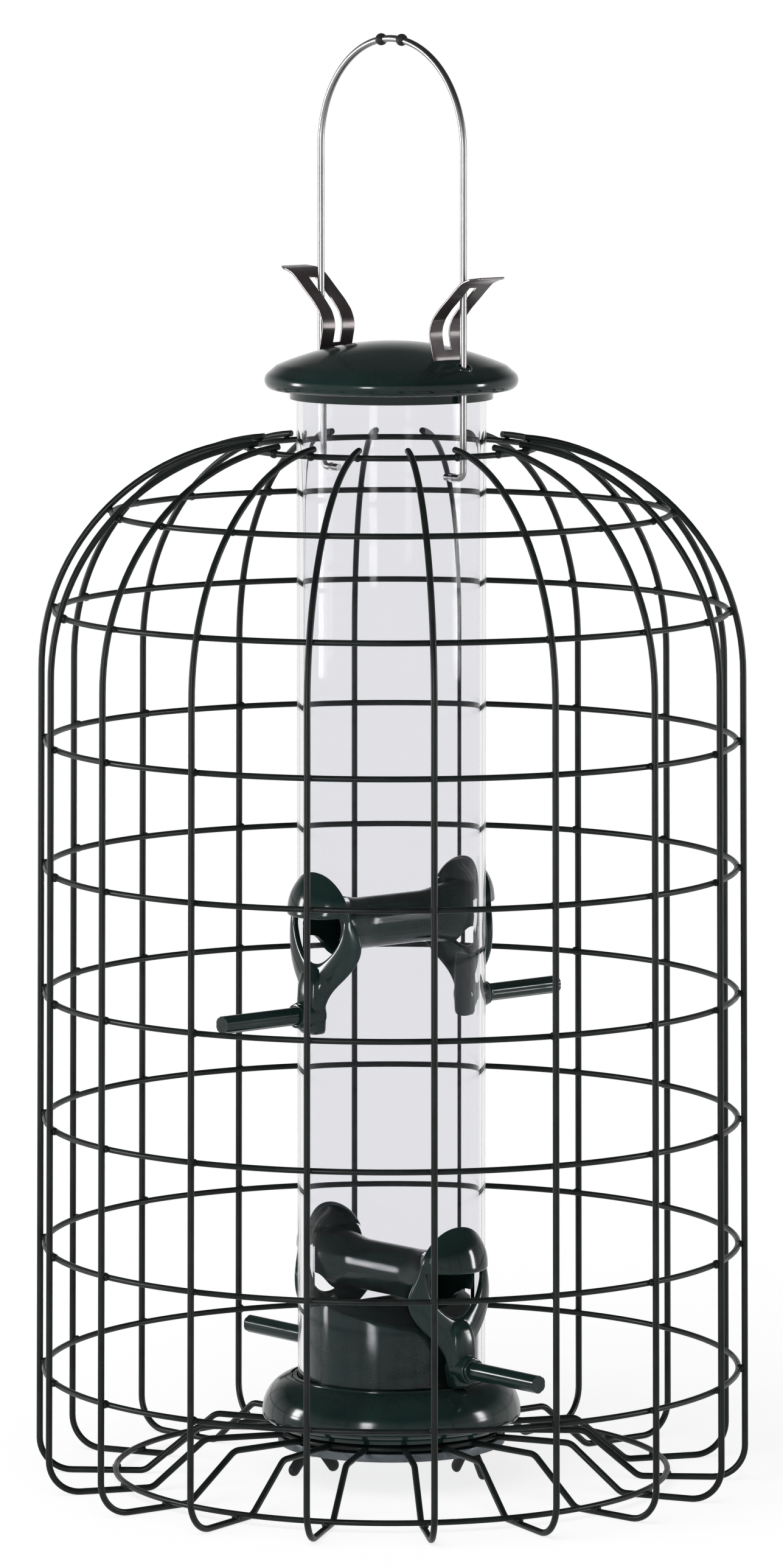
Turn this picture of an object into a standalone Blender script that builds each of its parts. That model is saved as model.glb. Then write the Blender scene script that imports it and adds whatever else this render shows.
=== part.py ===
"""Hanging bird feeder: a clear seed tube in a domed wire cage, under a sliding lid and a wire hanger.

Metres, +Z up. The origin is on the ground under the middle of the cage, whose wire feet stand at z = 0.
The upper pair of feeding ports lies along X and the lower pair along Y. The hanger's plane is Y-Z.
"""
import math

import bmesh
import bpy
from mathutils import Matrix, Vector

MM = 0.001
GAP = 0.3 * MM  # air left between two pieces that touch on the real object

# Seed tube
TUBE_OUTER = 31.75 * MM
TUBE_WALL = 2.0 * MM
TUBE_INNER = TUBE_OUTER - TUBE_WALL
TUBE_BOTTOM = 20.6 * MM
TUBE_TOP = 376.8 * MM
TUBE_CLEARANCE = 0.35 * MM

# Cage
CAGE_RIBS = 18
FIRST_RIB_ANGLE = math.radians(-4.3)
RIB_WIRE = 1.1 * MM
HOOP_WIRE = 1.0 * MM
HOOP_INSET = RIB_WIRE + HOOP_WIRE + GAP
DOME_CENTRE_RADIUS = 40.0 * MM
DOME_CENTRE_Z = 274.6 * MM
DOME_ARC = 78.0 * MM
RIB_TIP_RADIUS = 45.5 * MM
FOOT_RADIUS = 120.0 * MM
FOOT_CORNER = 11.0 * MM
FOOT_BEND = 5.0 * MM
FOOT_HEEL_RADIUS = 84.0 * MM
FOOT_RISE_RADIUS = 65.5 * MM
SPOKE_Z = 16.6 * MM
TOP_RING_RADIUS = 48.0 * MM
FOOT_HOOP_RADIUS = 93.6 * MM
BASE_RING_RADIUS = 37.2 * MM
DOME_HOOP_Z = (328.2 * MM, 295.4 * MM)
HIGHEST_WALL_HOOP_Z = 251.7 * MM
WALL_HOOP_SPACING = 42.66 * MM
WALL_HOOPS = 6

# Base and what holds the cage under it
SOCKET_RADIUS = TUBE_OUTER + TUBE_CLEARANCE
BASE_FLOOR_TOP = 20.2 * MM
BASE_BOSS_BOTTOM = 15.6 * MM
BASE_BOSS_RADIUS = 35.6 * MM
BASE_UNDERSIDE = 18.2 * MM
BULGE_RADIUS = 43.9 * MM
BULGE_Z = 22.6 * MM
BASE_LIP_Z = 35.4 * MM
PLATE_RADIUS = 38.5 * MM
PLATE_TOP = 15.3 * MM
PLATE_BOTTOM = 12.3 * MM
PLATE_PAD_RADIUS = 14.0 * MM
PLATE_PAD_BOTTOM = 11.6 * MM
BOLT_CIRCLE = 26.5 * MM
BOLT_ANGLES = {"left": math.radians(135), "right": math.radians(-45)}
BOLT_RADIUS = 1.95 * MM
BOLT_HEAD_RADIUS = 3.9 * MM
WING_ANGLES = {"left": math.radians(171), "right": math.radians(83)}

# Feeding ports: sizes from the middle of the mouth
LOWER_PORT_Z = 71.3 * MM
UPPER_PORT_Z = 190.8 * MM
FLANGE_THICKNESS = 2.5 * MM
MOUTH_HALF_WIDTH = 11.2 * MM
MOUTH_TOP = 11.2 * MM
MOUTH_BOTTOM = -14.0 * MM
PERCH_DROP = 29.0 * MM
PERCH_RADIUS = 3.0 * MM
PERCH_TIP = 74.5 * MM
CONDUIT_RADIUS = 8.6 * MM
CONDUIT_BORE = 7.0 * MM
CONDUIT_FLARE = 10.8 * MM
CONDUIT_FLARE_BORE = 9.0 * MM

# Seed deflector
DEFLECTOR_RADIUS = TUBE_INNER - TUBE_CLEARANCE
DEFLECTOR_WALL = 1.8 * MM
DEFLECTOR_RIDGE = 62.4 * MM
DEFLECTOR_EAVES = 54.0 * MM

# Lid
LID_TOP = 385.7 * MM
LID_DROP = 6.3 * MM
LID_DROP_AT = 33.8 * MM
LID_WALL = 2.0 * MM
RIM_CENTRE_RADIUS = 39.3 * MM
RIM_CENTRE_Z = 372.7 * MM
RIM_ROUND = 3.2 * MM
COLLAR_OUTER = 34.05 * MM
COLLAR_INNER = 32.6 * MM
COLLAR_BOTTOM = 366.4 * MM
CHANNEL_OUTER = 38.4 * MM

# Hanger and latches
BAIL_WIRE = 1.15 * MM
BAIL_RADIUS = 36.2 * MM
BAIL_PIVOT_Z = 341.7 * MM
BAIL_ARCH_Z = 450.1 * MM
BAIL_END = 27.2 * MM
BAIL_BEND = 2.4 * MM
BEAD_RADIUS = 2.05 * MM
BEAD_OFFSET = 5.2 * MM
LEAF_WIDTH = 14.0 * MM
LEAF_THICKNESS = 0.7 * MM
LEAF_SLOT = 3.2 * MM

TURN_STEPS = 36


def clear_scene():
    for obj in list(bpy.data.objects):
        bpy.data.objects.remove(obj, do_unlink=True)


def new_collection(name):
    collection = bpy.data.collections.new(name)
    bpy.context.scene.collection.children.link(collection)
    return collection


def make_material(name, colour, roughness, metallic=0.0, transmission=0.0):
    material = bpy.data.materials.new(name)
    material.use_nodes = True
    shader = material.node_tree.nodes["Principled BSDF"]
    shader.inputs["Base Color"].default_value = (*colour, 1.0)
    shader.inputs["Roughness"].default_value = roughness
    shader.inputs["Metallic"].default_value = metallic
    shader.inputs["Transmission Weight"].default_value = transmission
    return material


clear_scene()
FEEDER = new_collection("hanging_bird_feeder")
CUTTERS = new_collection("cutters")
GREEN_PLASTIC = make_material("dark_green_plastic", (0.012, 0.032, 0.028), 0.25)
CLEAR_PLASTIC = make_material("clear_tube_plastic", (0.88, 0.88, 0.92), 0.05, transmission=1.0)
COATED_WIRE = make_material("coated_cage_wire", (0.02, 0.026, 0.026), 0.4)
STAINLESS = make_material("stainless_steel", (0.62, 0.6, 0.6), 0.2, metallic=1.0)
ZINC_PLATE = make_material("zinc_plated_steel", (0.2, 0.22, 0.24), 0.45, metallic=1.0)
BLACK_PLASTIC = make_material("black_plastic", (0.015, 0.018, 0.018), 0.4)


def place(obj, collection, material):
    """Put an object in one collection and give it one material."""
    for old in list(obj.users_collection):
        old.objects.unlink(obj)
    collection.objects.link(obj)
    obj.data.materials.clear()
    obj.data.materials.append(material)
    return obj


def finish(obj, material, smooth_angle=35):
    """Turn an object into a finished piece of the feeder."""
    place(obj, FEEDER, material)
    if obj.type == "MESH":
        obj.data.shade_smooth()
        obj.data.set_sharp_from_angle(angle=math.radians(smooth_angle))
    return obj


def as_cutter(obj):
    place(obj, CUTTERS, BLACK_PLASTIC)
    obj.hide_render = True
    obj.display_type = "WIRE"
    return obj


def boolean(target, tool, operation="DIFFERENCE"):
    as_cutter(tool)
    modifier = target.modifiers.new(tool.name, "BOOLEAN")
    modifier.operation = operation
    modifier.object = tool
    modifier.solver = "EXACT"
    return target


def mesh_object(name, bm, matrix=None):
    if matrix is not None:
        bmesh.ops.transform(bm, matrix=matrix, verts=bm.verts)
    mesh = bpy.data.meshes.new(name)
    bm.to_mesh(mesh)
    bm.free()
    obj = bpy.data.objects.new(name, mesh)
    bpy.context.scene.collection.objects.link(obj)
    return obj


def box(name, low, high):
    size = Vector(high) - Vector(low)
    middle = (Vector(high) + Vector(low)) / 2
    bm = bmesh.new()
    bmesh.ops.create_cube(bm, size=1.0)
    return mesh_object(name, bm, Matrix.Translation(middle) @ Matrix.Diagonal((*size, 1.0)))


def cone(name, low_radius, high_radius, length, matrix, sides=TURN_STEPS):
    """A capped cone or cylinder that starts at the matrix's origin and runs along its Z."""
    bm = bmesh.new()
    bmesh.ops.create_cone(
        bm, cap_ends=True, segments=sides, radius1=low_radius, radius2=high_radius, depth=length
    )
    return mesh_object(name, bm, matrix @ Matrix.Translation((0, 0, length / 2)))


def cylinder(name, radius, low_z, high_z, x=0.0, y=0.0, sides=TURN_STEPS):
    return cone(name, radius, radius, high_z - low_z, Matrix.Translation((x, y, low_z)), sides)


def turned(name, profile, steps=TURN_STEPS, closed=False):
    """Revolve (radius, z) points about Z. The points run down the outer side."""
    bm = bmesh.new()
    verts = [bm.verts.new((radius, 0, z)) for radius, z in profile]
    for first, second in zip(verts, verts[1:]):
        bm.edges.new((first, second))
    if closed:
        bm.edges.new((verts[-1], verts[0]))
    obj = mesh_object(name, bm)
    screw = obj.modifiers.new("turn", "SCREW")
    screw.angle = math.tau
    screw.steps = steps
    screw.render_steps = steps
    screw.use_merge_vertices = True
    screw.merge_threshold = 0.00001
    screw.use_smooth_shade = True
    return obj


def evaluated_mesh(obj, name):
    bpy.context.view_layer.update()
    graph = bpy.context.evaluated_depsgraph_get()
    mesh = bpy.data.meshes.new_from_object(obj.evaluated_get(graph))
    mesh.name = name
    return mesh


def slab(name, outline, thickness, matrix):
    """A flat outline in the matrix's XY plane, thickened evenly to both sides along its Z."""
    curve = bpy.data.curves.new(name, "CURVE")
    curve.dimensions = "2D"
    curve.fill_mode = "BOTH"
    curve.extrude = thickness / 2
    spline = curve.splines.new("POLY")
    spline.points.add(len(outline) - 1)
    for point, (x, y) in zip(spline.points, outline):
        point.co = (x, y, 0, 1)
    spline.use_cyclic_u = True
    flat = bpy.data.objects.new(name, curve)
    bpy.context.scene.collection.objects.link(flat)
    mesh = evaluated_mesh(flat, name)
    bpy.data.objects.remove(flat, do_unlink=True)
    bm = bmesh.new()
    bm.from_mesh(mesh)
    bpy.data.meshes.remove(mesh)
    bmesh.ops.remove_doubles(bm, verts=bm.verts, dist=0.00001)
    bmesh.ops.recalc_face_normals(bm, faces=bm.faces)
    return mesh_object(name, bm, matrix)


def wire(name, points, radius, material, sides_setting=1):
    """A round wire through the points, with closed ends."""
    curve = bpy.data.curves.new(name, "CURVE")
    curve.dimensions = "3D"
    curve.bevel_depth = radius
    curve.bevel_resolution = sides_setting
    curve.use_fill_caps = True
    spline = curve.splines.new("POLY")
    spline.points.add(len(points) - 1)
    for point, position in zip(spline.points, points):
        point.co = (*position, 1)
    spline.use_smooth = True
    obj = bpy.data.objects.new(name, curve)
    bpy.context.scene.collection.objects.link(obj)
    return place(obj, FEEDER, material)


def arc(centre, radius, start, end, steps):
    """Points on an arc in a plane, angles in degrees."""
    points = []
    for step in range(steps + 1):
        angle = math.radians(start + (end - start) * step / steps)
        points.append((centre[0] + radius * math.cos(angle), centre[1] + radius * math.sin(angle)))
    return points


def rounded_corner(before, corner, after, radius, steps):
    """Points that replace a corner by an arc of the given radius."""
    corner = Vector(corner)
    towards_before = (Vector(before) - corner).normalized()
    towards_after = (Vector(after) - corner).normalized()
    half_angle = towards_before.angle(towards_after) / 2
    bisector = (towards_before + towards_after).normalized()
    centre = corner + bisector * (radius / math.sin(half_angle))
    start = corner + towards_before * (radius / math.tan(half_angle)) - centre
    sweep = math.pi - 2 * half_angle
    turn = sweep if start.x * bisector.y - start.y * bisector.x < 0 else -sweep
    points = []
    for step in range(steps + 1):
        points.append(tuple(centre + Matrix.Rotation(turn * step / steps, 2) @ start))
    return points


def circle_position(radius, angle, z):
    return (radius * math.cos(angle), radius * math.sin(angle), z)


# Seed tube, base, deflector


def make_seed_tube():
    wall = [
        (TUBE_OUTER, TUBE_TOP),
        (TUBE_OUTER, TUBE_BOTTOM),
        (TUBE_INNER, TUBE_BOTTOM),
        (TUBE_INNER, TUBE_TOP),
    ]
    tube = turned("seed_tube", wall, closed=True)
    for level, middle_z in (("upper", UPPER_PORT_Z), ("lower", LOWER_PORT_Z)):
        reach = TUBE_OUTER + 5 * MM
        low = [-reach, -MOUTH_HALF_WIDTH, middle_z + MOUTH_BOTTOM]
        high = [reach, MOUTH_HALF_WIDTH, middle_z + MOUTH_TOP]
        if level == "lower":
            low[0], low[1] = low[1], low[0]
            high[0], high[1] = high[1], high[0]
        boolean(tube, box(level + "_mouth_cutter", low, high))
    pivot_holes = cone(
        "pivot_hole_cutter",
        BAIL_WIRE + TUBE_CLEARANCE,
        BAIL_WIRE + TUBE_CLEARANCE,
        2 * TUBE_OUTER + 10 * MM,
        Matrix.Translation((0, TUBE_OUTER + 5 * MM, BAIL_PIVOT_Z)) @ Matrix.Rotation(math.pi / 2, 4, "X"),
        sides=12,
    )
    boolean(tube, pivot_holes)
    finish(tube, CLEAR_PLASTIC)


def make_base_cup():
    lower_edge = BASE_UNDERSIDE + 0.6 * MM
    bulge = arc((0, 0), 1.0, -58, 78, 6)
    outer = []
    for across, up in reversed(bulge):
        height = BASE_LIP_Z - BULGE_Z if up > 0 else BULGE_Z - lower_edge
        outer.append((SOCKET_RADIUS + 0.6 * MM + (BULGE_RADIUS - SOCKET_RADIUS - 0.6 * MM) * across,
                      BULGE_Z + height * up))
    profile = [
        (0, BASE_FLOOR_TOP),
        (SOCKET_RADIUS, BASE_FLOOR_TOP),
        (SOCKET_RADIUS, BASE_LIP_Z - 0.6 * MM),
        (SOCKET_RADIUS + 0.6 * MM, BASE_LIP_Z),
        *outer,
        (BULGE_RADIUS - 5.4 * MM, BASE_UNDERSIDE),
        (BASE_BOSS_RADIUS, BASE_UNDERSIDE),
        (BASE_BOSS_RADIUS, BASE_BOSS_BOTTOM),
        (0, BASE_BOSS_BOTTOM),
    ]
    cup = turned("base_cup", profile)
    for side, angle in BOLT_ANGLES.items():
        x, y, _ = circle_position(BOLT_CIRCLE, angle, 0)
        clearance = BOLT_RADIUS + 0.45 * MM
        shank = cylinder(side + "_base_hole_cutter", clearance, 10 * MM, 25 * MM, x, y, sides=16)
        boolean(cup, shank)
        countersink = cone(
            side + "_countersink_cutter",
            BOLT_RADIUS,
            BOLT_HEAD_RADIUS + 1.0 * MM,
            3.2 * MM,
            Matrix.Translation((x, y, BASE_FLOOR_TOP - 2.6 * MM)),
            sides=16,
        )
        boolean(cup, countersink)
    finish(cup, GREEN_PLASTIC)


def gable(name, half_width, bottom, eaves, ridge):
    """A roof-shaped block whose ridge runs along X."""
    outline = [
        (-half_width, bottom),
        (half_width, bottom),
        (half_width, eaves),
        (0, ridge),
        (-half_width, eaves),
    ]
    to_yz = Matrix(((0, 0, 1, 0), (1, 0, 0, 0), (0, 1, 0, 0), (0, 0, 0, 1)))
    return slab(name, outline, 80 * MM, to_yz)


def make_seed_deflector():
    bottom = TUBE_BOTTOM
    deflector = cylinder("seed_deflector", DEFLECTOR_RADIUS, bottom, DEFLECTOR_RIDGE + 5 * MM)
    roof = gable("deflector_roof", 32 * MM, bottom - 5 * MM, DEFLECTOR_EAVES, DEFLECTOR_RIDGE)
    boolean(deflector, roof, "INTERSECT")
    hollow = cylinder(
        "deflector_hollow", DEFLECTOR_RADIUS - DEFLECTOR_WALL, bottom - 2 * MM, DEFLECTOR_RIDGE
    )
    inner_roof = gable(
        "deflector_inner_roof",
        32 * MM,
        bottom - 5 * MM,
        DEFLECTOR_EAVES - DEFLECTOR_WALL,
        DEFLECTOR_RIDGE - DEFLECTOR_WALL,
    )
    boolean(hollow, inner_roof, "INTERSECT")
    boolean(deflector, hollow)
    finish(deflector, GREEN_PLASTIC)


def make_retaining_plate():
    edge = 0.8 * MM
    profile = [
        (0, PLATE_TOP),
        (PLATE_RADIUS - edge, PLATE_TOP),
        (PLATE_RADIUS, PLATE_TOP - edge),
        (PLATE_RADIUS, PLATE_BOTTOM + edge),
        (PLATE_RADIUS - edge, PLATE_BOTTOM),
        (PLATE_PAD_RADIUS, PLATE_BOTTOM),
        (PLATE_PAD_RADIUS, PLATE_PAD_BOTTOM),
        (0, PLATE_PAD_BOTTOM),
    ]
    plate = turned("cage_retaining_plate", profile)
    for side, angle in BOLT_ANGLES.items():
        x, y, _ = circle_position(BOLT_CIRCLE, angle, 0)
        hole_radius = BOLT_RADIUS + 0.45 * MM
        hole = cylinder(side + "_plate_hole_cutter", hole_radius, 10 * MM, 17 * MM, x, y, sides=16)
        boolean(plate, hole)
    finish(plate, ZINC_PLATE)


def make_base_bolt(side, angle):
    """A flat-headed bolt that comes down through the base and the plate."""
    head_top = BASE_FLOOR_TOP - 0.3 * MM
    head_bottom = head_top - 2.0 * MM
    end = 6.4 * MM
    profile = [
        (0, head_top),
        (BOLT_HEAD_RADIUS, head_top),
        (BOLT_RADIUS, head_bottom),
        (BOLT_RADIUS, end + 0.5 * MM),
        (BOLT_RADIUS - 0.5 * MM, end),
        (0, end),
    ]
    bolt = turned("base_bolt_" + side, profile, steps=16)
    bolt.location = circle_position(BOLT_CIRCLE, angle, 0)
    finish(bolt, STAINLESS)


def make_wing_nut(side, angle, wing_angle):
    """A hub with two thumb wings that splay down and out."""
    hub_top = PLATE_BOTTOM - GAP
    hub_length = 4.8 * MM
    nut_middle = circle_position(BOLT_CIRCLE, angle, 0)
    place_nut = Matrix.Translation(nut_middle) @ Matrix.Rotation(wing_angle, 4, "Z")
    hub = cone(
        "wing_nut_" + side,
        3.5 * MM,
        4.4 * MM,
        hub_length,
        place_nut @ Matrix.Translation((0, 0, hub_top - hub_length)),
        sides=20,
    )
    wing_half = 2.2 * MM
    root = Vector((2.2 * MM, 9.6 * MM))
    tip = Vector((8.4 * MM, 5.2 * MM))
    along = math.degrees(math.atan2(tip.y - root.y, tip.x - root.x))
    outline = arc(tip, wing_half, along - 90, along + 90, 6)
    outline += arc(root, wing_half, along + 90, along + 270, 4)
    to_xz = Matrix(((1, 0, 0, 0), (0, 0, -1, 0), (0, 1, 0, 0), (0, 0, 0, 1)))
    for number, half_turn in enumerate((0, math.pi)):
        wing_place = place_nut @ Matrix.Rotation(half_turn, 4, "Z") @ to_xz
        wing = slab("{}_wing_{}".format(side, number + 1), outline, 2.6 * MM, wing_place)
        boolean(hub, wing, "UNION")
    x, y, _ = nut_middle
    bore = cylinder(side + "_nut_bore", BOLT_RADIUS + GAP, 2 * MM, 14 * MM, x, y, sides=16)
    boolean(hub, bore)
    finish(hub, BLACK_PLASTIC)


# Feeding ports, drawn once facing +X with the mouth's middle at z = 0

PORT_OUTLINE = (
    [(-19.0 * MM, -4.0 * MM), (-15.6 * MM, 2.5 * MM)]
    + arc((0, 4.0 * MM), 15.0 * MM, 175, 5, 9)
    + [(15.6 * MM, 2.5 * MM), (19.0 * MM, -4.0 * MM), (18.6 * MM, -9.0 * MM), (12.0 * MM, -16.5 * MM)]
    + [(6.0 * MM, -21.0 * MM), (4.0 * MM, -32.0 * MM), (-4.0 * MM, -32.0 * MM), (-6.0 * MM, -21.0 * MM)]
    + [(-12.0 * MM, -16.5 * MM), (-18.6 * MM, -9.0 * MM)]
)
WINDOW_OUTLINE = [
    (-10.5 * MM, 6.0 * MM),
    (10.5 * MM, 6.0 * MM),
    (13.0 * MM, -3.0 * MM),
    (12.4 * MM, -6.4 * MM),
    (4.2 * MM, -13.5 * MM),
    (-4.2 * MM, -13.5 * MM),
    (-12.4 * MM, -6.4 * MM),
    (-13.0 * MM, -3.0 * MM),
]
STEM_OUTLINE = [
    (4.9 * MM, -18.0 * MM),
    (4.9 * MM, -32.6 * MM),
    (3.2 * MM, -35.2 * MM),
    (-3.2 * MM, -35.2 * MM),
    (-4.9 * MM, -32.6 * MM),
    (-4.9 * MM, -18.0 * MM),
]
FACING_X = Matrix(((0, 0, 1, 0), (1, 0, 0, 0), (0, 1, 0, 0), (0, 0, 0, 1)))
ALONG_X = Matrix.Rotation(math.pi / 2, 4, "Y")


def make_port_hood():
    """A thin half dome, open below, that keeps rain off the mouth."""
    bm = bmesh.new()
    bmesh.ops.create_uvsphere(bm, u_segments=16, v_segments=10, radius=1.0)
    lower_half = [vert for vert in bm.verts if vert.co.z < -0.001 or vert.co.x < -0.001]
    bmesh.ops.delete(bm, geom=lower_half, context="VERTS")
    shape = Matrix.Diagonal((9.5 * MM, 13.0 * MM, 15.0 * MM, 1.0))
    hood = mesh_object("port_hood", bm, Matrix.Translation((31.5 * MM, 0, 4.0 * MM)) @ shape)
    wall = hood.modifiers.new("wall", "SOLIDIFY")
    wall.thickness = 1.8 * MM
    wall.offset = -1
    return hood


def make_port_mesh():
    flange_outer = SOCKET_RADIUS + FLANGE_THICKNESS
    port = cylinder("port", flange_outer, -40 * MM, 22 * MM)
    boolean(port, slab("port_outline", PORT_OUTLINE, 60 * MM, Matrix.Translation((50 * MM, 0, 0)) @ FACING_X),
            "INTERSECT")
    stem = slab("port_stem", STEM_OUTLINE, 10 * MM, Matrix.Translation((33 * MM, 0, 0)) @ FACING_X)
    boolean(port, stem, "UNION")
    perch_axis = Matrix.Translation((30 * MM, 0, -PERCH_DROP)) @ ALONG_X
    boolean(port, cone("port_boss", 4.9 * MM, 4.6 * MM, 11 * MM, perch_axis, sides=20), "UNION")
    boolean(port, make_port_hood(), "UNION")
    boolean(port, cylinder("port_seat", SOCKET_RADIUS, -45 * MM, 30 * MM))
    window = slab("port_window", WINDOW_OUTLINE, 8 * MM, Matrix.Translation((32 * MM, 0, 0)) @ FACING_X)
    boolean(port, window)
    hole_place = Matrix.Translation((SOCKET_RADIUS + 1.8 * MM, 0, -PERCH_DROP)) @ ALONG_X
    hole_radius = PERCH_RADIUS + GAP
    boolean(port, cone("perch_hole", hole_radius, hole_radius, 12 * MM, hole_place, sides=16))
    tongue = box("port_tongue", (25 * MM, -3.0 * MM, 6.4 * MM), (33.2 * MM, 3.0 * MM, 8.0 * MM))
    boolean(port, tongue, "UNION")
    mesh = evaluated_mesh(port, "feeding_port")
    for obj in list(bpy.data.objects):
        if obj.name.startswith("port") or obj.name == "perch_hole":
            bpy.data.objects.remove(obj, do_unlink=True)
    return mesh


def make_perch_mesh():
    """A round peg with a domed tip, lying along X."""
    foot = SOCKET_RADIUS + 2.2 * MM
    length = PERCH_TIP - foot
    tip = [(PERCH_RADIUS * 0.5, length), (PERCH_RADIUS * 0.87, length - 0.6 * MM)]
    profile = [(0, length), *tip, (PERCH_RADIUS, length - 1.8 * MM), (PERCH_RADIUS, 0), (0, 0)]
    peg = turned("perch_guide", profile, steps=16)
    mesh = evaluated_mesh(peg, "perch")
    bpy.data.objects.remove(peg, do_unlink=True)
    mesh.transform(Matrix.Translation((foot, 0, -PERCH_DROP)) @ ALONG_X)
    return mesh


def make_ports():
    port_mesh = make_port_mesh()
    perch_mesh = make_perch_mesh()
    ends = {
        "upper_port_left": (UPPER_PORT_Z, 180),
        "upper_port_right": (UPPER_PORT_Z, 0),
        "lower_port_front": (LOWER_PORT_Z, -90),
        "lower_port_back": (LOWER_PORT_Z, 90),
    }
    for name, (middle_z, turn) in ends.items():
        for piece_name, mesh in ((name, port_mesh), (name.replace("port", "perch"), perch_mesh)):
            piece = bpy.data.objects.new(piece_name, mesh)
            bpy.context.scene.collection.objects.link(piece)
            piece.location = (0, 0, middle_z)
            piece.rotation_euler = (0, 0, math.radians(turn))
            finish(piece, GREEN_PLASTIC)


def make_conduit(name, middle_z, turn):
    """The tunnel that joins two opposite ports: flared at both mouths, cut away below them."""
    half = TUBE_OUTER + 1 * MM
    flare_start = 20 * MM
    flare_end = 27 * MM
    profile = [
        (CONDUIT_FLARE_BORE, half),
        (CONDUIT_FLARE, half),
        (CONDUIT_FLARE, flare_end),
        (CONDUIT_RADIUS, flare_start),
        (CONDUIT_RADIUS, -flare_start),
        (CONDUIT_FLARE, -flare_end),
        (CONDUIT_FLARE, -half),
        (CONDUIT_FLARE_BORE, -half),
        (CONDUIT_FLARE_BORE, -flare_end + 2 * MM),
        (CONDUIT_BORE, -flare_start),
        (CONDUIT_BORE, flare_start),
        (CONDUIT_FLARE_BORE, flare_end - 2 * MM),
    ]
    place_conduit = Matrix.Translation((0, 0, middle_z)) @ Matrix.Rotation(turn, 4, "Z")
    conduit = turned(name, profile, steps=16, closed=True)
    conduit.matrix_world = place_conduit @ ALONG_X
    ends = cylinder(name + "_ends_cutter", TUBE_OUTER + 0.05 * MM, middle_z - 20 * MM, middle_z + 20 * MM)
    boolean(conduit, ends, "INTERSECT")
    chute = [(15 * MM, -12 * MM), (35 * MM, -12 * MM), (35 * MM, -3.8 * MM), (25 * MM, -3.8 * MM)]
    to_xz = Matrix(((1, 0, 0, 0), (0, 0, -1, 0), (0, 1, 0, 0), (0, 0, 0, 1)))
    for number, half_turn in enumerate((0, math.pi)):
        chute_place = place_conduit @ Matrix.Rotation(half_turn, 4, "Z") @ to_xz
        boolean(conduit, slab("{}_chute_{}".format(name, number + 1), chute, 30 * MM, chute_place))
    finish(conduit, GREEN_PLASTIC)


# Cage


def rib_profile():
    """A rib as (radius, z) points: over the dome, down the wall, round the foot, in to the base."""
    tip_angle = math.degrees(math.acos((RIB_TIP_RADIUS - DOME_CENTRE_RADIUS) / DOME_ARC))
    shoulder = (DOME_CENTRE_RADIUS + DOME_ARC, DOME_CENTRE_Z)
    floor_corner = (FOOT_RADIUS, RIB_WIRE)
    heel = (FOOT_HEEL_RADIUS, RIB_WIRE)
    rise = (FOOT_RISE_RADIUS, SPOKE_Z)
    end = (BASE_RING_RADIUS + HOOP_WIRE + GAP, SPOKE_Z)
    points = arc((DOME_CENTRE_RADIUS, DOME_CENTRE_Z), DOME_ARC, tip_angle, 0, 7)
    points += rounded_corner(shoulder, floor_corner, heel, FOOT_CORNER, 3)
    points += rounded_corner(floor_corner, heel, rise, FOOT_BEND, 1)
    points += rounded_corner(heel, rise, end, FOOT_BEND, 1)
    points.append(end)
    return points


def make_ribs():
    profile = rib_profile()
    for number in range(CAGE_RIBS):
        angle = FIRST_RIB_ANGLE + math.tau * number / CAGE_RIBS
        points = [circle_position(radius, angle, z) for radius, z in profile]
        wire("cage_rib_{:02d}".format(number + 1), points, RIB_WIRE, COATED_WIRE)


def make_hoop(name, radius, z):
    bpy.ops.mesh.primitive_torus_add(
        location=(0, 0, z),
        rotation=(0, 0, FIRST_RIB_ANGLE),
        major_segments=2 * CAGE_RIBS,
        minor_segments=6,
        major_radius=radius,
        minor_radius=HOOP_WIRE,
    )
    hoop = bpy.context.object
    hoop.name = name
    finish(hoop, COATED_WIRE, smooth_angle=80)


def dome_hoop_radius(z):
    """The radius of a hoop that lies against the inside of the ribs on the dome."""
    inner_arc = DOME_ARC - HOOP_INSET
    return DOME_CENTRE_RADIUS + math.sqrt(inner_arc**2 - (z - DOME_CENTRE_Z) ** 2)


def wall_rib_radius(z):
    top_radius = DOME_CENTRE_RADIUS + DOME_ARC
    return top_radius + (FOOT_RADIUS - top_radius) * (DOME_CENTRE_Z - z) / DOME_CENTRE_Z


def make_hoops():
    levels = [(dome_hoop_radius(z), z) for z in DOME_HOOP_Z]
    for number in range(WALL_HOOPS):
        z = HIGHEST_WALL_HOOP_Z - number * WALL_HOOP_SPACING
        levels.append((wall_rib_radius(z) - HOOP_INSET, z))
    for number, (radius, z) in enumerate(levels):
        make_hoop("cage_hoop_{:02d}".format(number + 1), radius, z)
    inner_arc = DOME_ARC - HOOP_INSET
    ring_z = DOME_CENTRE_Z + math.sqrt(inner_arc**2 - (TOP_RING_RADIUS - DOME_CENTRE_RADIUS) ** 2)
    make_hoop("cage_top_ring", TOP_RING_RADIUS, ring_z)
    make_hoop("cage_foot_hoop", FOOT_HOOP_RADIUS, RIB_WIRE + HOOP_INSET)
    make_hoop("cage_base_ring", BASE_RING_RADIUS, SPOKE_Z)


# Lid, latches and hanger


def lid_surface(radius):
    """Height of the lid's outer dome at a radius."""
    return LID_TOP - LID_DROP * (radius / LID_DROP_AT) ** 2


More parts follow.
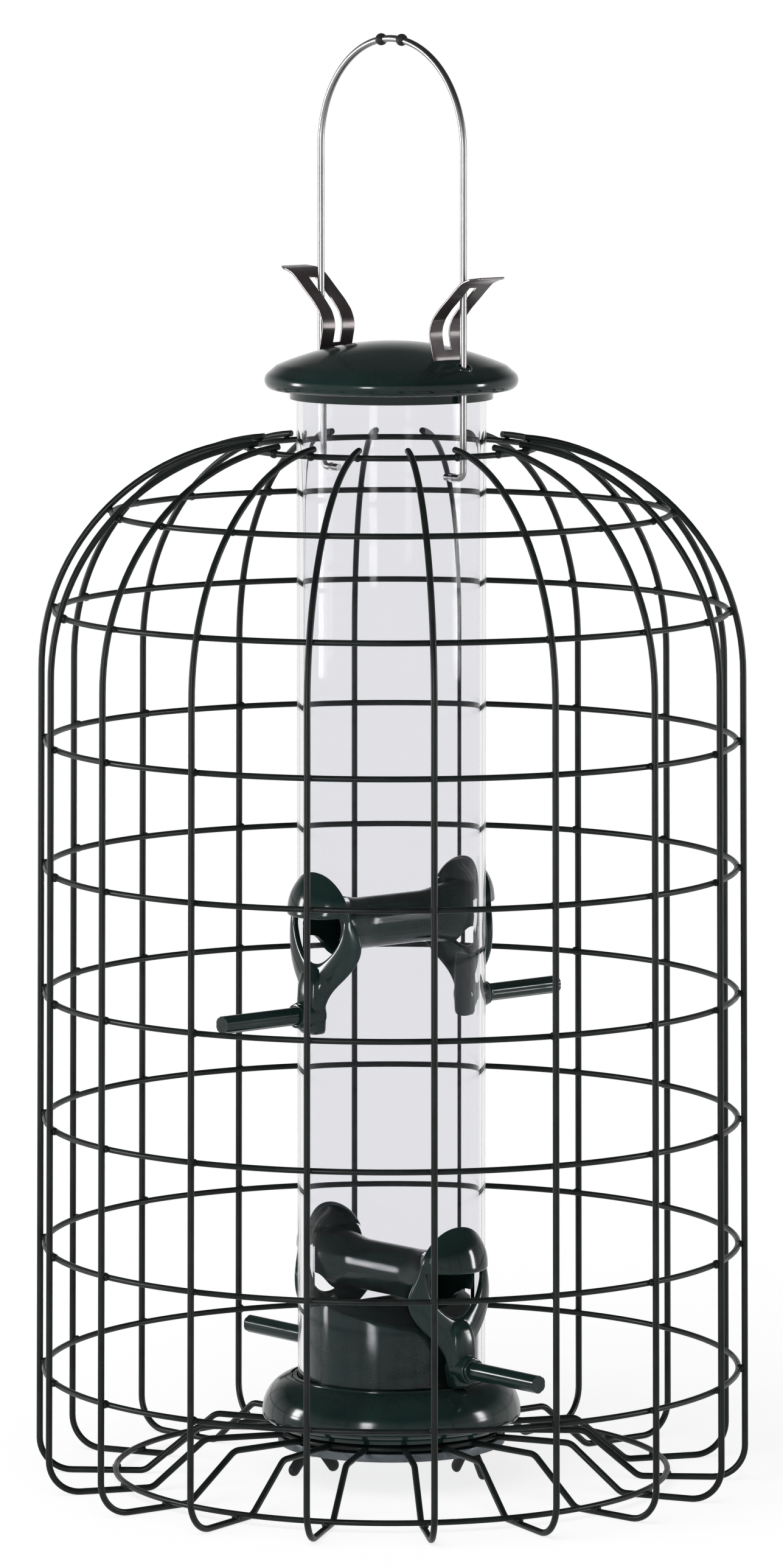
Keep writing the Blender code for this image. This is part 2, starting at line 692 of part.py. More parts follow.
def make_lid():
    dome_radii = (0, 14 * MM, 26 * MM, 34 * MM, 38.5 * MM)
    outer = [(radius, lid_surface(radius)) for radius in dome_radii]
    rim = arc((RIM_CENTRE_RADIUS, RIM_CENTRE_Z), RIM_ROUND, 62, -90, 5)
    inner_radii = (COLLAR_INNER, 26 * MM, 14 * MM, 0)
    inner = [(radius, lid_surface(radius) - LID_WALL) for radius in inner_radii]
    underside = [
        (CHANNEL_OUTER, rim[-1][1]),
        (CHANNEL_OUTER, lid_surface(CHANNEL_OUTER) - LID_WALL),
        (COLLAR_OUTER, lid_surface(COLLAR_OUTER) - LID_WALL),
        (COLLAR_OUTER, COLLAR_BOTTOM),
        (COLLAR_INNER, COLLAR_BOTTOM),
    ]
    lid = turned("lid_cap", [*outer, *rim, *underside, *inner])
    for number, side in enumerate((-1, 1)):
        hole = cylinder(
            "wire_hole_cutter_{}".format(number + 1),
            BAIL_WIRE + 0.75 * MM,
            370 * MM,
            390 * MM,
            0,
            side * BAIL_RADIUS,
            sides=16,
        )
        boolean(lid, hole)
        slot_low = (-LEAF_WIDTH / 2 - 0.5 * MM, min(side * 28.0, side * 30.1) * MM, 376.5 * MM)
        slot_high = (LEAF_WIDTH / 2 + 0.5 * MM, max(side * 28.0, side * 30.1) * MM, 390 * MM)
        boolean(lid, box("latch_slot_cutter_{}".format(number + 1), slot_low, slot_high))
    finish(lid, GREEN_PLASTIC)


def leaf_profile():
    """A latch leaf from its hooked tail, past the crease, to the thumb tab, as (radius, z)."""
    tail = [(26.4 * MM, 377.9 * MM), (28.7 * MM, 378.1 * MM)]
    lower_limb = [(29.1 * MM, 381.0 * MM), (27.6 * MM, 387.2 * MM)]
    crease = [(27.2 * MM, 389.4 * MM), (27.6 * MM, 391.8 * MM), (29.0 * MM, 394.6 * MM)]
    upper_limb = [(32.2 * MM, 397.9 * MM), (36.2 * MM, 401.2 * MM), (40.2 * MM, 404.6 * MM)]
    tab = [(43.0 * MM, 406.8 * MM), (46.4 * MM, 408.0 * MM), (50.5 * MM, 408.6 * MM)]
    return tail + lower_limb + crease + upper_limb + tab


def make_latch_leaf(name, side):
    profile = leaf_profile()
    bm = bmesh.new()
    left = [bm.verts.new((-side * LEAF_WIDTH / 2, side * radius, z)) for radius, z in profile]
    right = [bm.verts.new((side * LEAF_WIDTH / 2, side * radius, z)) for radius, z in profile]
    for index in range(len(profile) - 1):
        bm.faces.new((left[index], right[index], right[index + 1], left[index + 1]))
    leaf = mesh_object(name, bm)
    thickness = leaf.modifiers.new("thickness", "SOLIDIFY")
    thickness.thickness = LEAF_THICKNESS
    thickness.offset = 0
    thickness.use_even_offset = True
    near, far = sorted((side * 24 * MM, side * 41.4 * MM))
    slot = box(name + "_slot_cutter", (-LEAF_SLOT / 2, near, 383.6 * MM), (LEAF_SLOT / 2, far, 412 * MM))
    boolean(leaf, slot)
    finish(leaf, STAINLESS)


def make_bail():
    leg_foot = rounded_corner(
        (BAIL_END, BAIL_PIVOT_Z), (BAIL_RADIUS, BAIL_PIVOT_Z), (BAIL_RADIUS, BAIL_ARCH_Z), BAIL_BEND, 3
    )
    half = [(BAIL_END, BAIL_PIVOT_Z), *leg_foot, (BAIL_RADIUS, 400 * MM)]
    arch = arc((0, BAIL_ARCH_Z), BAIL_RADIUS, 0, 180, 20)
    other_half = [(-y, z) for y, z in reversed(half)]
    points = [(0, y, z) for y, z in [*half, *arch, *other_half]]
    wire("bail_wire", points, BAIL_WIRE, STAINLESS, sides_setting=2)


def make_hanger_bead(name, side):
    """A round bead on the top of the arch. The hanging hook sits between the two."""
    bore = BAIL_WIRE + GAP
    end = math.sqrt(BEAD_RADIUS**2 - bore**2)
    round_side = []
    for step in range(7):
        z = end - 2 * end * step / 6
        round_side.append((math.sqrt(BEAD_RADIUS**2 - z**2), z))
    bead = turned(name, round_side, steps=12, closed=True)
    lean = side * BEAD_OFFSET / BAIL_RADIUS
    across = Matrix.Rotation(math.pi / 2, 4, "X")
    bead.matrix_world = (
        Matrix.Translation((0, 0, BAIL_ARCH_Z))
        @ Matrix.Rotation(-lean, 4, "X")
        @ Matrix.Translation((0, 0, BAIL_RADIUS))
        @ across
    )
    finish(bead, BLACK_PLASTIC)


make_seed_tube()
make_base_cup()
make_seed_deflector()
make_conduit("upper_conduit", UPPER_PORT_Z, 0)
make_conduit("lower_conduit", LOWER_PORT_Z, math.pi / 2)
make_ports()
make_retaining_plate()
for bolt_side, bolt_angle in BOLT_ANGLES.items():
    make_base_bolt(bolt_side, bolt_angle)
    make_wing_nut(bolt_side, bolt_angle, WING_ANGLES[bolt_side])
make_ribs()
make_hoops()
make_lid()
make_latch_leaf("front_latch_leaf", -1)
make_latch_leaf("back_latch_leaf", 1)
make_bail()
make_hanger_bead("front_hanger_bead", -1)
make_hanger_bead("back_hanger_bead", 1)
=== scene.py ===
# %% [markdown]
# # A caged seed feeder for small birds
# A clear seed tube hangs in a domed wire cage. Four hooded ports let small birds feed, while the mesh keeps
# squirrels and large birds out. A lid slides up a stainless hanger for filling, and two sprung latches
# hold it down. Each cell makes one piece or one finish, in the frame of the CAD part. The pieces' sizes
# are in millimetres, and times MM where Blender takes metres.

# %% Load the frame
import math

import bmesh
import bpy
from mathutils import Matrix, Vector


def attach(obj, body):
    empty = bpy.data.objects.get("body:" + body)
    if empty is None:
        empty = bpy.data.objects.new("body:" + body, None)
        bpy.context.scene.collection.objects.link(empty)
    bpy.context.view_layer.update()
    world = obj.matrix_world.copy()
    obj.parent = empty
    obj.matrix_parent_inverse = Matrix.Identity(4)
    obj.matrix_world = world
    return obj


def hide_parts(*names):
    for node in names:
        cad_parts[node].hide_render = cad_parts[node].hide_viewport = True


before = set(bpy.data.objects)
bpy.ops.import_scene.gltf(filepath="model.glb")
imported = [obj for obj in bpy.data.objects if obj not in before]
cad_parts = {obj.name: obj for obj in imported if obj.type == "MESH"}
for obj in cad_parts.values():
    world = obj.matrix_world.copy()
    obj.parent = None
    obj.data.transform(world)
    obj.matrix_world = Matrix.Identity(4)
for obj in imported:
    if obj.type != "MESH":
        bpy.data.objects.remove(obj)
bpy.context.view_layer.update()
MM = 0.001
print("CAD nodes:", len(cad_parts))

# %% [markdown]
# ## Camera and light
# The feeder is lit as for a catalogue: a white sweep all round, a dark ceiling, and tall soft boxes at the
# sides. The dark ceiling matters, because polished steel only looks like steel if it has something dark
# to reflect. The world holds the sweep and the ceiling. The soft boxes are glowing cards that only
# reflections and refractions see, so they draw highlights without changing the even light.

# %% Camera
CAMERA_AIM = Vector((0.0, 0.0, 0.2366))
CAMERA_DISTANCE = 2.7717
CAMERA_TURN = math.radians(-41.0)
CAMERA_RISE = math.radians(6.7)


def direction(turn, rise):
    """A unit vector towards a place on the horizon (turn) and above it (rise)."""
    level = math.cos(rise)
    return Vector((math.sin(turn) * level, -math.cos(turn) * level, math.sin(rise)))


lens = bpy.data.cameras.new("camera")
lens.lens = 189.3
lens.sensor_width = 36.0
camera = bpy.data.objects.new("camera", lens)
bpy.context.scene.collection.objects.link(camera)
to_camera = direction(CAMERA_TURN, CAMERA_RISE)
camera.location = CAMERA_AIM + to_camera * CAMERA_DISTANCE
camera.rotation_euler = to_camera.to_track_quat("Z", "Y").to_euler()
bpy.context.scene.camera = camera
bpy.context.scene.view_settings.view_transform = "Standard"
print("camera at", [round(value, 3) for value in camera.location])

# %% Node helpers
# One helper adds a node to any tree. Inputs are given by name or number: a node or a socket is linked,
# and anything else is set as a value.


def node(tree, kind, inputs=None, **settings):
    made = tree.nodes.new(kind)
    for label, value in settings.items():
        setattr(made, label, value)
    for label, value in (inputs or {}).items():
        socket = made.inputs[label]
        if isinstance(value, bpy.types.Node):
            tree.links.new(value.outputs[0], socket)
        elif isinstance(value, bpy.types.NodeSocket):
            tree.links.new(value, socket)
        else:
            socket.default_value = value
    return made


def maths(tree, operation, first, second=0.0):
    return node(tree, "ShaderNodeMath", {0: first, 1: second}, operation=operation)


def remapped(tree, value, low, high, new_low=0.0, new_high=1.0):
    """The value stretched from low..high to new_low..new_high, and held inside it."""
    inputs = {"Value": value, "From Min": low, "From Max": high, "To Min": new_low, "To Max": new_high}
    return node(tree, "ShaderNodeMapRange", inputs)


print("node helpers ready")

# %% Object and material helpers
# A mesh becomes a named object in the scene, and a material starts as one plain shader.


def placed(name, data):
    """An object in the scene that holds a mesh or a light."""
    obj = bpy.data.objects.new(name, data)
    bpy.context.scene.collection.objects.link(obj)
    return obj


def object_from(name, bm, outward=True):
    """An object made from a bmesh, whose faces are turned outwards first unless it says not to."""
    if outward:
        bmesh.ops.recalc_face_normals(bm, faces=bm.faces)
    mesh = bpy.data.meshes.new(name)
    bm.to_mesh(mesh)
    bm.free()
    return placed(name, mesh)


def new_material(name, **plain):
    """A material, its tree and its shader, with the sockets that are the same all over the piece."""
    material = bpy.data.materials.new(name)
    material.use_nodes = True
    shader = material.node_tree.nodes["Principled BSDF"]
    for label, value in plain.items():
        shader.inputs[label.replace("_", " ")].default_value = value
    return material, material.node_tree, shader


print("object and material helpers ready")

# %% World: white sweep, dark ceiling
SWEEP_BRIGHTNESS = 1.0
CEILING_BRIGHTNESS = 0.10
SWEEP_TOP, CEILING_START = 0.10, 0.45

world = bpy.data.worlds.new("studio")
bpy.context.scene.world = world
world.use_nodes = True
sky = world.node_tree
sky_direction = node(sky, "ShaderNodeTexCoord")
sky_height = node(sky, "ShaderNodeSeparateXYZ", {0: sky_direction.outputs["Generated"]})
sky_level = remapped(
    sky, sky_height.outputs["Z"], SWEEP_TOP, CEILING_START, SWEEP_BRIGHTNESS, CEILING_BRIGHTNESS
)
sky_colour = node(sky, "ShaderNodeCombineColor", {0: sky_level, 1: sky_level, 2: sky_level})
sky.links.new(sky_colour.outputs[0], sky.nodes["Background"].inputs["Color"])
print("ceiling is", round(CEILING_BRIGHTNESS / SWEEP_BRIGHTNESS, 2), "as bright as the sweep")

# %% Soft boxes and a wide overhead light
# Each soft box has a turn from the camera and a rise in degrees, a width and height in metres, and a
# strength.
BLACK = (0.0, 0.0, 0.0, 1.0)
WHITE = (1.0, 1.0, 1.0, 1.0)
SOFT_BOX_DISTANCE = 1.5
SOFT_BOXES = (
    ("soft_box_left", -95.0, 5.0, 0.24, 0.5, 34.0),
    ("soft_box_front", -22.0, 5.0, 0.24, 0.4, 34.0),
    ("soft_box_right", 88.0, 5.0, 0.20, 0.5, 32.0),
)


def make_soft_box(name, turn_from_camera, rise, width, height, strength):
    """A glowing card that faces the feeder. Only reflections and refractions see it."""
    toward = direction(CAMERA_TURN + math.radians(turn_from_camera), math.radians(rise))
    place = Matrix.Translation(CAMERA_AIM + toward * SOFT_BOX_DISTANCE)
    turn = toward.to_track_quat("Z", "Y").to_matrix().to_4x4()
    shape = Matrix.Diagonal((width, height, 1.0, 1.0))
    bm = bmesh.new()
    bmesh.ops.create_grid(bm, x_segments=1, y_segments=1, size=0.5)
    bmesh.ops.transform(bm, matrix=place @ turn @ shape, verts=bm.verts)
    card = object_from(name, bm, outward=False)
    glow = new_material(name, Base_Color=BLACK, Emission_Color=WHITE, Emission_Strength=strength)[0]
    card.data.materials.append(glow)
    card.visible_camera = False
    card.visible_diffuse = False
    card.visible_shadow = False


for settings in SOFT_BOXES:
    make_soft_box(*settings)

OVERHEAD_TURN, OVERHEAD_RISE = CAMERA_TURN - 0.6, math.radians(52)
overhead_light = bpy.data.lights.new("overhead", "SUN")
overhead_light.energy = 1.7
overhead_light.angle = math.radians(60)
overhead = placed("overhead", overhead_light)
overhead.rotation_euler = direction(OVERHEAD_TURN, OVERHEAD_RISE).to_track_quat("Z", "Y").to_euler()
overhead.visible_glossy = False
overhead.visible_transmission = False
print("soft boxes:", len(SOFT_BOXES))

# %% Floor
FLOOR_RADIUS = 30.0
FLOOR_GREY = (0.34, 0.34, 0.34, 1.0)
FLOOR_GLOW = 0.80

floor_bm = bmesh.new()
bmesh.ops.create_circle(floor_bm, cap_ends=True, segments=64, radius=FLOOR_RADIUS)
floor = object_from("floor", floor_bm, outward=False)
white_paper = new_material(
    "white_paper",
    Base_Color=FLOOR_GREY,
    Roughness=1.0,
    Specular_IOR_Level=0.0,
    Emission_Color=WHITE,
    Emission_Strength=FLOOR_GLOW,
)[0]
floor.data.materials.append(white_paper)
print("floor is", 2 * FLOOR_RADIUS, "m across")

# %% [markdown]
# ## Finishes
# Four effects turn up in more than one finish, so each is a shader node group: the fine grain of a moulded
# or powder-coated skin, the pale rub on raised edges, the film of dust on upward faces, and the lines
# that drawing or rolling leaves in steel. A group only gives masks and heights. Every finish has its
# own shader, and places the groups with its own values.

# %% Group helpers


def new_group(name, inputs, outputs):
    group = bpy.data.node_groups.new(name, "ShaderNodeTree")
    for label, value in inputs.items():
        socket = group.interface.new_socket(label, in_out="INPUT", socket_type="NodeSocketFloat")
        socket.default_value = value
    for label in outputs:
        group.interface.new_socket(label, in_out="OUTPUT", socket_type="NodeSocketFloat")
    return group, group.nodes.new("NodeGroupInput"), group.nodes.new("NodeGroupOutput")


def place_group(tree, group, **values):
    group_node = node(tree, "ShaderNodeGroup", node_tree=group)
    for label, value in values.items():
        group_node.inputs[label.replace("_", " ")].default_value = value
    return group_node


def own_place(tree):
    """Where a point lies on its own piece."""
    return node(tree, "ShaderNodeTexCoord").outputs["Object"]


def noise(tree, place, scale, detail=3.0, rough=0.55):
    inputs = {"Vector": place, "Scale": scale, "Detail": detail, "Roughness": rough}
    return node(tree, "ShaderNodeTexNoise", inputs)


print("group helpers ready")

# %% Group: fine grain of a skin
skin_group, skin_in, skin_out = new_group(
    "skin_grain", {"Grain Scale": 1500.0, "Cloud Scale": 40.0}, ("Height", "Cloud")
)
skin_place = own_place(skin_group)
skin_fine = noise(skin_group, skin_place, skin_in.outputs["Grain Scale"], detail=2.0)
skin_broad = noise(skin_group, skin_place, skin_in.outputs["Cloud Scale"], detail=4.0)
skin_group.links.new(skin_fine.outputs[0], skin_out.inputs["Height"])
skin_group.links.new(skin_broad.outputs[0], skin_out.inputs["Cloud"])
print("group:", skin_group.name)

# %% Group: pale rub on raised edges
FIRST_BEND = 0.52

edge_group, edge_in, edge_out = new_group("rubbed_edges", {"Width": 0.05, "Patch Scale": 180.0}, ("Mask",))
edge_bend = node(edge_group, "ShaderNodeNewGeometry").outputs["Pointiness"]
full_bend = maths(edge_group, "ADD", edge_in.outputs["Width"], FIRST_BEND)
edge_ridge = remapped(edge_group, edge_bend, FIRST_BEND, full_bend)
edge_patch = noise(edge_group, own_place(edge_group), edge_in.outputs["Patch Scale"], detail=5.0)
edge_broken = remapped(edge_group, edge_patch, 0.42, 0.62)
edge_mask = maths(edge_group, "MULTIPLY", edge_ridge, edge_broken)
edge_group.links.new(edge_mask.outputs[0], edge_out.inputs["Mask"])
print("group:", edge_group.name)

# %% Group: film of dust on upward faces
dust_group, dust_in, dust_out = new_group("settled_dust", {"Cover": 0.5, "Speck Scale": 900.0}, ("Mask",))
dust_normal = node(dust_group, "ShaderNodeNewGeometry").outputs["Normal"]
dust_up = node(dust_group, "ShaderNodeSeparateXYZ", {0: dust_normal}).outputs["Z"]
dust_face = remapped(dust_group, dust_up, 0.35, 1.0)
dust_speck = noise(dust_group, own_place(dust_group), dust_in.outputs["Speck Scale"], detail=6.0, rough=0.7)
dust_film = remapped(dust_group, dust_speck, 0.45, 0.75, 0.15, 1.0)
dust_laid = maths(dust_group, "MULTIPLY", dust_face, dust_film)
dust_mask = maths(dust_group, "MULTIPLY", dust_laid, dust_in.outputs["Cover"])
dust_group.links.new(dust_mask.outputs[0], dust_out.inputs["Mask"])
print("group:", dust_group.name)

# %% Group: lines left by drawing or rolling
line_group, line_in, line_out = new_group(
    "drawn_lines", {"Across": 6000.0, "Along": 120.0, "Smudge Scale": 60.0}, ("Height", "Smudge")
)
line_place = own_place(line_group)
across, along = line_in.outputs["Across"], line_in.outputs["Along"]
line_stretch = node(line_group, "ShaderNodeCombineXYZ", {0: across, 1: across, 2: along})
line_spread = node(line_group, "ShaderNodeVectorMath", {0: line_place, 1: line_stretch}, operation="MULTIPLY")
line_fine = noise(line_group, line_spread, 1.0, detail=2.0)
line_smudge = noise(line_group, line_place, line_in.outputs["Smudge Scale"], detail=5.0)
line_group.links.new(line_fine.outputs[0], line_out.inputs["Height"])
line_group.links.new(line_smudge.outputs[0], line_out.inputs["Smudge"])
print("group:", line_group.name)

# %% Finish helpers
# A Mix node holds a set of sockets for each kind of data. These are its places for colours.
MIX_FACTOR, MIX_FIRST, MIX_SECOND = 0, 6, 7
MIX_RESULT = 2


def blend_colours(tree, factor, first, second):
    """A colour that goes from first to second as the factor goes from 0 to 1."""
    first, second = [(*ink, 1.0) if isinstance(ink, tuple) else ink for ink in (first, second)]
    inputs = {MIX_FACTOR: factor, MIX_FIRST: first, MIX_SECOND: second}
    return node(tree, "ShaderNodeMix", inputs, data_type="RGBA").outputs[MIX_RESULT]


def set_finish(tree, shader, colour, roughness, height, depth):
    """Plugs a colour, a roughness and a bump into the shader. The depth of the bump is in millimetres.

    Clear plastic gives no colour here, and keeps the plain one on its shader.
    """
    if colour:
        tree.links.new(colour, shader.inputs["Base Color"])
    tree.links.new(roughness.outputs[0], shader.inputs["Roughness"])
    bump = node(tree, "ShaderNodeBump", {"Height": height, "Strength": 1.0, "Distance": depth * MM})
    tree.links.new(bump.outputs[0], shader.inputs["Normal"])


print("finish helpers ready")

# %% [markdown]
# ### Green plastic
# The base, ports, conduits, perches and lid are injection moulded in a green so dark that it reads as black
# until light rakes it. A moulded skin isn't a mirror: it has a very faint orange peel, cloudy patches where
# the melt flowed, paler corners where it is handled, and a little dust on top.

# %% Green plastic
GREEN_DEEP = (0.0048, 0.0130, 0.0120)
GREEN_FLOW = (0.0085, 0.0250, 0.0220)
GREEN_RUBBED = (0.060, 0.088, 0.082)
DUST_COLOUR = (0.17, 0.18, 0.17)

green_plastic, tree, shader = new_material("green_plastic", Specular_IOR_Level=0.27)
skin = place_group(tree, skin_group, Grain_Scale=1300.0, Cloud_Scale=32.0)
rub = place_group(tree, edge_group, Width=0.07, Patch_Scale=220.0)
dust = place_group(tree, dust_group, Cover=0.10, Speck_Scale=1400.0)
flow = remapped(tree, skin.outputs["Cloud"], 0.36, 0.66)
rub_share = maths(tree, "MULTIPLY", rub.outputs["Mask"], 0.35)
body_colour = blend_colours(tree, flow, GREEN_DEEP, GREEN_FLOW)
rubbed_colour = blend_colours(tree, rub_share, body_colour, GREEN_RUBBED)
dusty_colour = blend_colours(tree, dust.outputs["Mask"], rubbed_colour, DUST_COLOUR)
gloss = remapped(tree, skin.outputs["Cloud"], 0.3, 0.7, 0.09, 0.18)
dull_gloss = maths(tree, "ADD", gloss, dust.outputs["Mask"])
set_finish(tree, shader, dusty_colour, dull_gloss, skin.outputs["Height"], 0.0015)
print("finish:", green_plastic.name)

# %% [markdown]
# ### Clear tube
# The tube is extruded polycarbonate. It isn't colourless: the wall has a cold lavender cast, and the die
# leaves fine streaks down its length that break the reflections into upright bands. It stays a plain
# transmitting shader, with only its roughness and a shallow bump changing over the surface.

# %% Clear tube
LAVENDER_CAST = (0.865, 0.865, 0.885, 1.0)

clear_plastic, tree, shader = new_material(
    "clear_tube_plastic", Base_Color=LAVENDER_CAST, Transmission_Weight=1.0, IOR=1.12
)
streaks = place_group(tree, line_group, Across=900.0, Along=2.0, Smudge_Scale=28.0)
haze = remapped(tree, streaks.outputs["Smudge"], 0.4, 0.75, 0.01, 0.03)
set_finish(tree, shader, None, haze, streaks.outputs["Height"], 0.001)
print("finish:", clear_plastic.name)

# %% [markdown]
# ### Coated cage wire
# The cage is welded steel under a near-black green powder coat. Powder melts into tiny swells, so the wire
# shines in a broken line and not as a clean streak.

# %% Coated wire
COAT_DARK = (0.0045, 0.0068, 0.0064)
COAT_LIGHT = (0.0100, 0.0140, 0.0132)

coated_wire, tree, shader = new_material("coated_wire", Specular_IOR_Level=0.16)
skin = place_group(tree, skin_group, Grain_Scale=2300.0, Cloud_Scale=90.0)
dust = place_group(tree, dust_group, Cover=0.05, Speck_Scale=1500.0)
patches = remapped(tree, skin.outputs["Cloud"], 0.35, 0.68)
coat_colour = blend_colours(tree, patches, COAT_DARK, COAT_LIGHT)
dusty_coat = blend_colours(tree, dust.outputs["Mask"], coat_colour, DUST_COLOUR)
satin = remapped(tree, skin.outputs["Cloud"], 0.3, 0.7, 0.30, 0.46)
set_finish(tree, shader, dusty_coat, satin, skin.outputs["Height"], 0.020)
print("finish:", coated_wire.name)

# %% [markdown]
# ### Steels
# The hanger is bright drawn stainless wire. The latches are rolled spring strip with a warm heat tint, and
# their colour is also painted much darker as a painted reflection of the dark above them. The plate under
# the base is dull zinc with faint crystals, and the bolts are plain machined steel. One function makes the
# three drawn or rolled steels, each with its own colours and lines.

# %% Stainless wire, spring strip and bolt steel


def make_steel(name, colours, gloss, lines_across, lines_along, depth, metallic=1.0):
    """A steel whose colour and roughness go from the first of two values to the second in smudges."""
    material, tree, shader = new_material(name, Metallic=metallic)
    lines = place_group(tree, line_group, Across=lines_across, Along=lines_along, Smudge_Scale=75.0)
    smear = remapped(tree, lines.outputs["Smudge"], 0.35, 0.68)
    colour = blend_colours(tree, smear, *colours)
    roughness = remapped(tree, lines.outputs["Smudge"], 0.3, 0.7, *gloss)
    set_finish(tree, shader, colour, roughness, lines.outputs["Height"], depth)
    return material


WIRE_COLOURS = ((0.195, 0.191, 0.191), (0.245, 0.240, 0.240))
# The strip's colours hold a painted reflection: painted dark for the dark above the latches, over a real warm
# heat tint.
STRIP_COLOURS_PAINTED_DARK = ((0.060, 0.049, 0.050), (0.088, 0.074, 0.076))
BOLT_COLOURS = ((0.40, 0.40, 0.40), (0.52, 0.52, 0.51))

stainless_wire = make_steel("stainless_wire", WIRE_COLOURS, (0.28, 0.36), 5200.0, 90.0, 0.001)
stainless_strip = make_steel("stainless_strip", STRIP_COLOURS_PAINTED_DARK, (0.16, 0.26), 4200.0, 400.0, 0.003, 0.45)
bolt_steel = make_steel("bolt_steel", BOLT_COLOURS, (0.25, 0.4), 3000.0, 3000.0, 0.004)
print("finishes:", stainless_wire.name, stainless_strip.name, bolt_steel.name)

# %% Zinc plate
ZINC_DARK = (0.060, 0.070, 0.078)
ZINC_LIGHT = (0.115, 0.128, 0.142)

zinc_plate, tree, shader = new_material("zinc_plate", Metallic=1.0)
skin = place_group(tree, skin_group, Grain_Scale=2600.0, Cloud_Scale=45.0)
crystals = node(tree, "ShaderNodeTexVoronoi", {"Vector": own_place(tree), "Scale": 260.0})
spangle = remapped(tree, crystals.outputs["Color"], 0.0, 1.0)
plate_colour = blend_colours(tree, spangle, ZINC_DARK, ZINC_LIGHT)
plate_gloss = remapped(tree, skin.outputs["Cloud"], 0.3, 0.7, 0.38, 0.55)
set_finish(tree, shader, plate_colour, plate_gloss, skin.outputs["Height"], 0.012)
print("finish:", zinc_plate.name)

# %% Black plastic of the wing nuts and beads
NUT_DEEP = (0.010, 0.011, 0.012)
NUT_LIGHT = (0.022, 0.024, 0.025)
NUT_RUBBED = (0.09, 0.09, 0.09)

black_plastic, tree, shader = new_material("black_plastic", Specular_IOR_Level=0.15)
skin = place_group(tree, skin_group, Grain_Scale=3000.0, Cloud_Scale=120.0)
rub = place_group(tree, edge_group, Width=0.06, Patch_Scale=400.0)
rub_share = maths(tree, "MULTIPLY", rub.outputs["Mask"], 0.5)
cloudy = remapped(tree, skin.outputs["Cloud"], 0.35, 0.7)
nut_colour = blend_colours(tree, cloudy, NUT_DEEP, NUT_LIGHT)
rubbed_nut = blend_colours(tree, rub_share, nut_colour, NUT_RUBBED)
nut_gloss = remapped(tree, skin.outputs["Cloud"], 0.3, 0.7, 0.36, 0.5)
set_finish(tree, shader, rubbed_nut, nut_gloss, skin.outputs["Height"], 0.03)
print("finish:", black_plastic.name)

# %% [markdown]
# ## Shape helpers
# Most moulded pieces here are turned, so one helper spins a profile of (radius, height) points round the Z
# axis. Real edges are never knife sharp, so another rounds the corners of a profile first. Every piece
# ends in `settle`, which gives it its finish and its body, and hides the CAD nodes it stands for.

# %% Places, arcs and rounded corners


def at(x=0.0, y=0.0, z=0.0):
    return Matrix.Translation(Vector((x, y, z)) * MM)


def turned_by(degrees, axis):
    return Matrix.Rotation(math.radians(degrees), 4, axis)


def circle(radius, steps):
    """Evenly spaced (x, y) points round the axis."""
    angles = [math.tau * step / steps for step in range(steps)]
    return [(radius * math.cos(angle), radius * math.sin(angle)) for angle in angles]


def arc(centre, radii, start, end, steps):
    """Points on a round or oval arc, angles in degrees."""
    points = []
    for step in range(steps + 1):
        angle = math.radians(start + (end - start) * step / steps)
        points.append((centre[0] + radii[0] * math.cos(angle), centre[1] + radii[1] * math.sin(angle)))
    return points


def softened(points, radius, steps=4, closed=False):
    """The same line with each corner rounded off, at most to the middle of its two sides."""
    rounded = []
    count = len(points)
    for index, corner in enumerate(points):
        if not closed and index in (0, count - 1):
            rounded.append(tuple(corner))
            continue
        here = Vector(corner)
        before = Vector(points[index - 1]) - here
        after = Vector(points[(index + 1) % count]) - here
        start = here + before.normalized() * min(radius, before.length * 0.48)
        end = here + after.normalized() * min(radius, after.length * 0.48)
        for step in range(steps + 1):
            share = step / steps
            curve = start * (1 - share) ** 2 + here * 2 * share * (1 - share) + end * share**2
            rounded.append(tuple(curve))
    return rounded


def to_axis(profile):
    """The same profile, closed to the axis at both ends."""
    return [(0, profile[0][1]), *profile, (0, profile[-1][1])]


print("places, arcs and corners ready")

# %% Turned and stacked skins


def bridge(bm, rings, closed=False):
    """Joins each ring of corners to the next with faces. A ring of one corner is a pole."""
    steps = max(len(ring) for ring in rings)
    pairs = list(zip(rings, rings[1:])) + ([(rings[-1], rings[0])] if closed else [])
    for upper, lower in pairs:
        for step in range(steps):
            corners = [upper[step % len(upper)], upper[(step + 1) % len(upper)]]
            corners += [lower[(step + 1) % len(lower)], lower[step % len(lower)]]
            bm.faces.new(list(dict.fromkeys(corners)))


def spin(bm, profile, steps, closed=False, place=Matrix()):
    """Adds a turned skin to bm from (radius, height) points in millimetres."""
    rings = []
    for radius, height in profile:
        ring = circle(radius, steps) if radius else [(0.0, 0.0)]
        rings.append([bm.verts.new(place @ (Vector((x, y, height)) * MM)) for x, y in ring])
    bridge(bm, rings, closed)


def stack(bm, rings):
    """Adds a closed skin to bm over rings of (x, y, z) points in millimetres."""
    loops = [[bm.verts.new(Vector(point) * MM) for point in ring] for ring in rings]
    bridge(bm, loops)
    bm.faces.new(loops[0])
    bm.faces.new(list(reversed(loops[-1])))


def turned(name, profile, steps, closed=False, place=Matrix()):
    """A turned piece as an object of its own."""
    bm = bmesh.new()
    spin(bm, profile, steps, closed, place)
    return object_from(name, bm)


def add_turned(mesh, profile, steps, closed=False, place=Matrix()):
    """Adds a turned skin to a finished mesh."""
    bm = bmesh.new()
    bm.from_mesh(mesh)
    spin(bm, profile, steps, closed, place)
    bmesh.ops.recalc_face_normals(bm, faces=bm.faces)
    bm.to_mesh(mesh)
    bm.free()


print("turning helpers ready")

# %% Cutting and settling


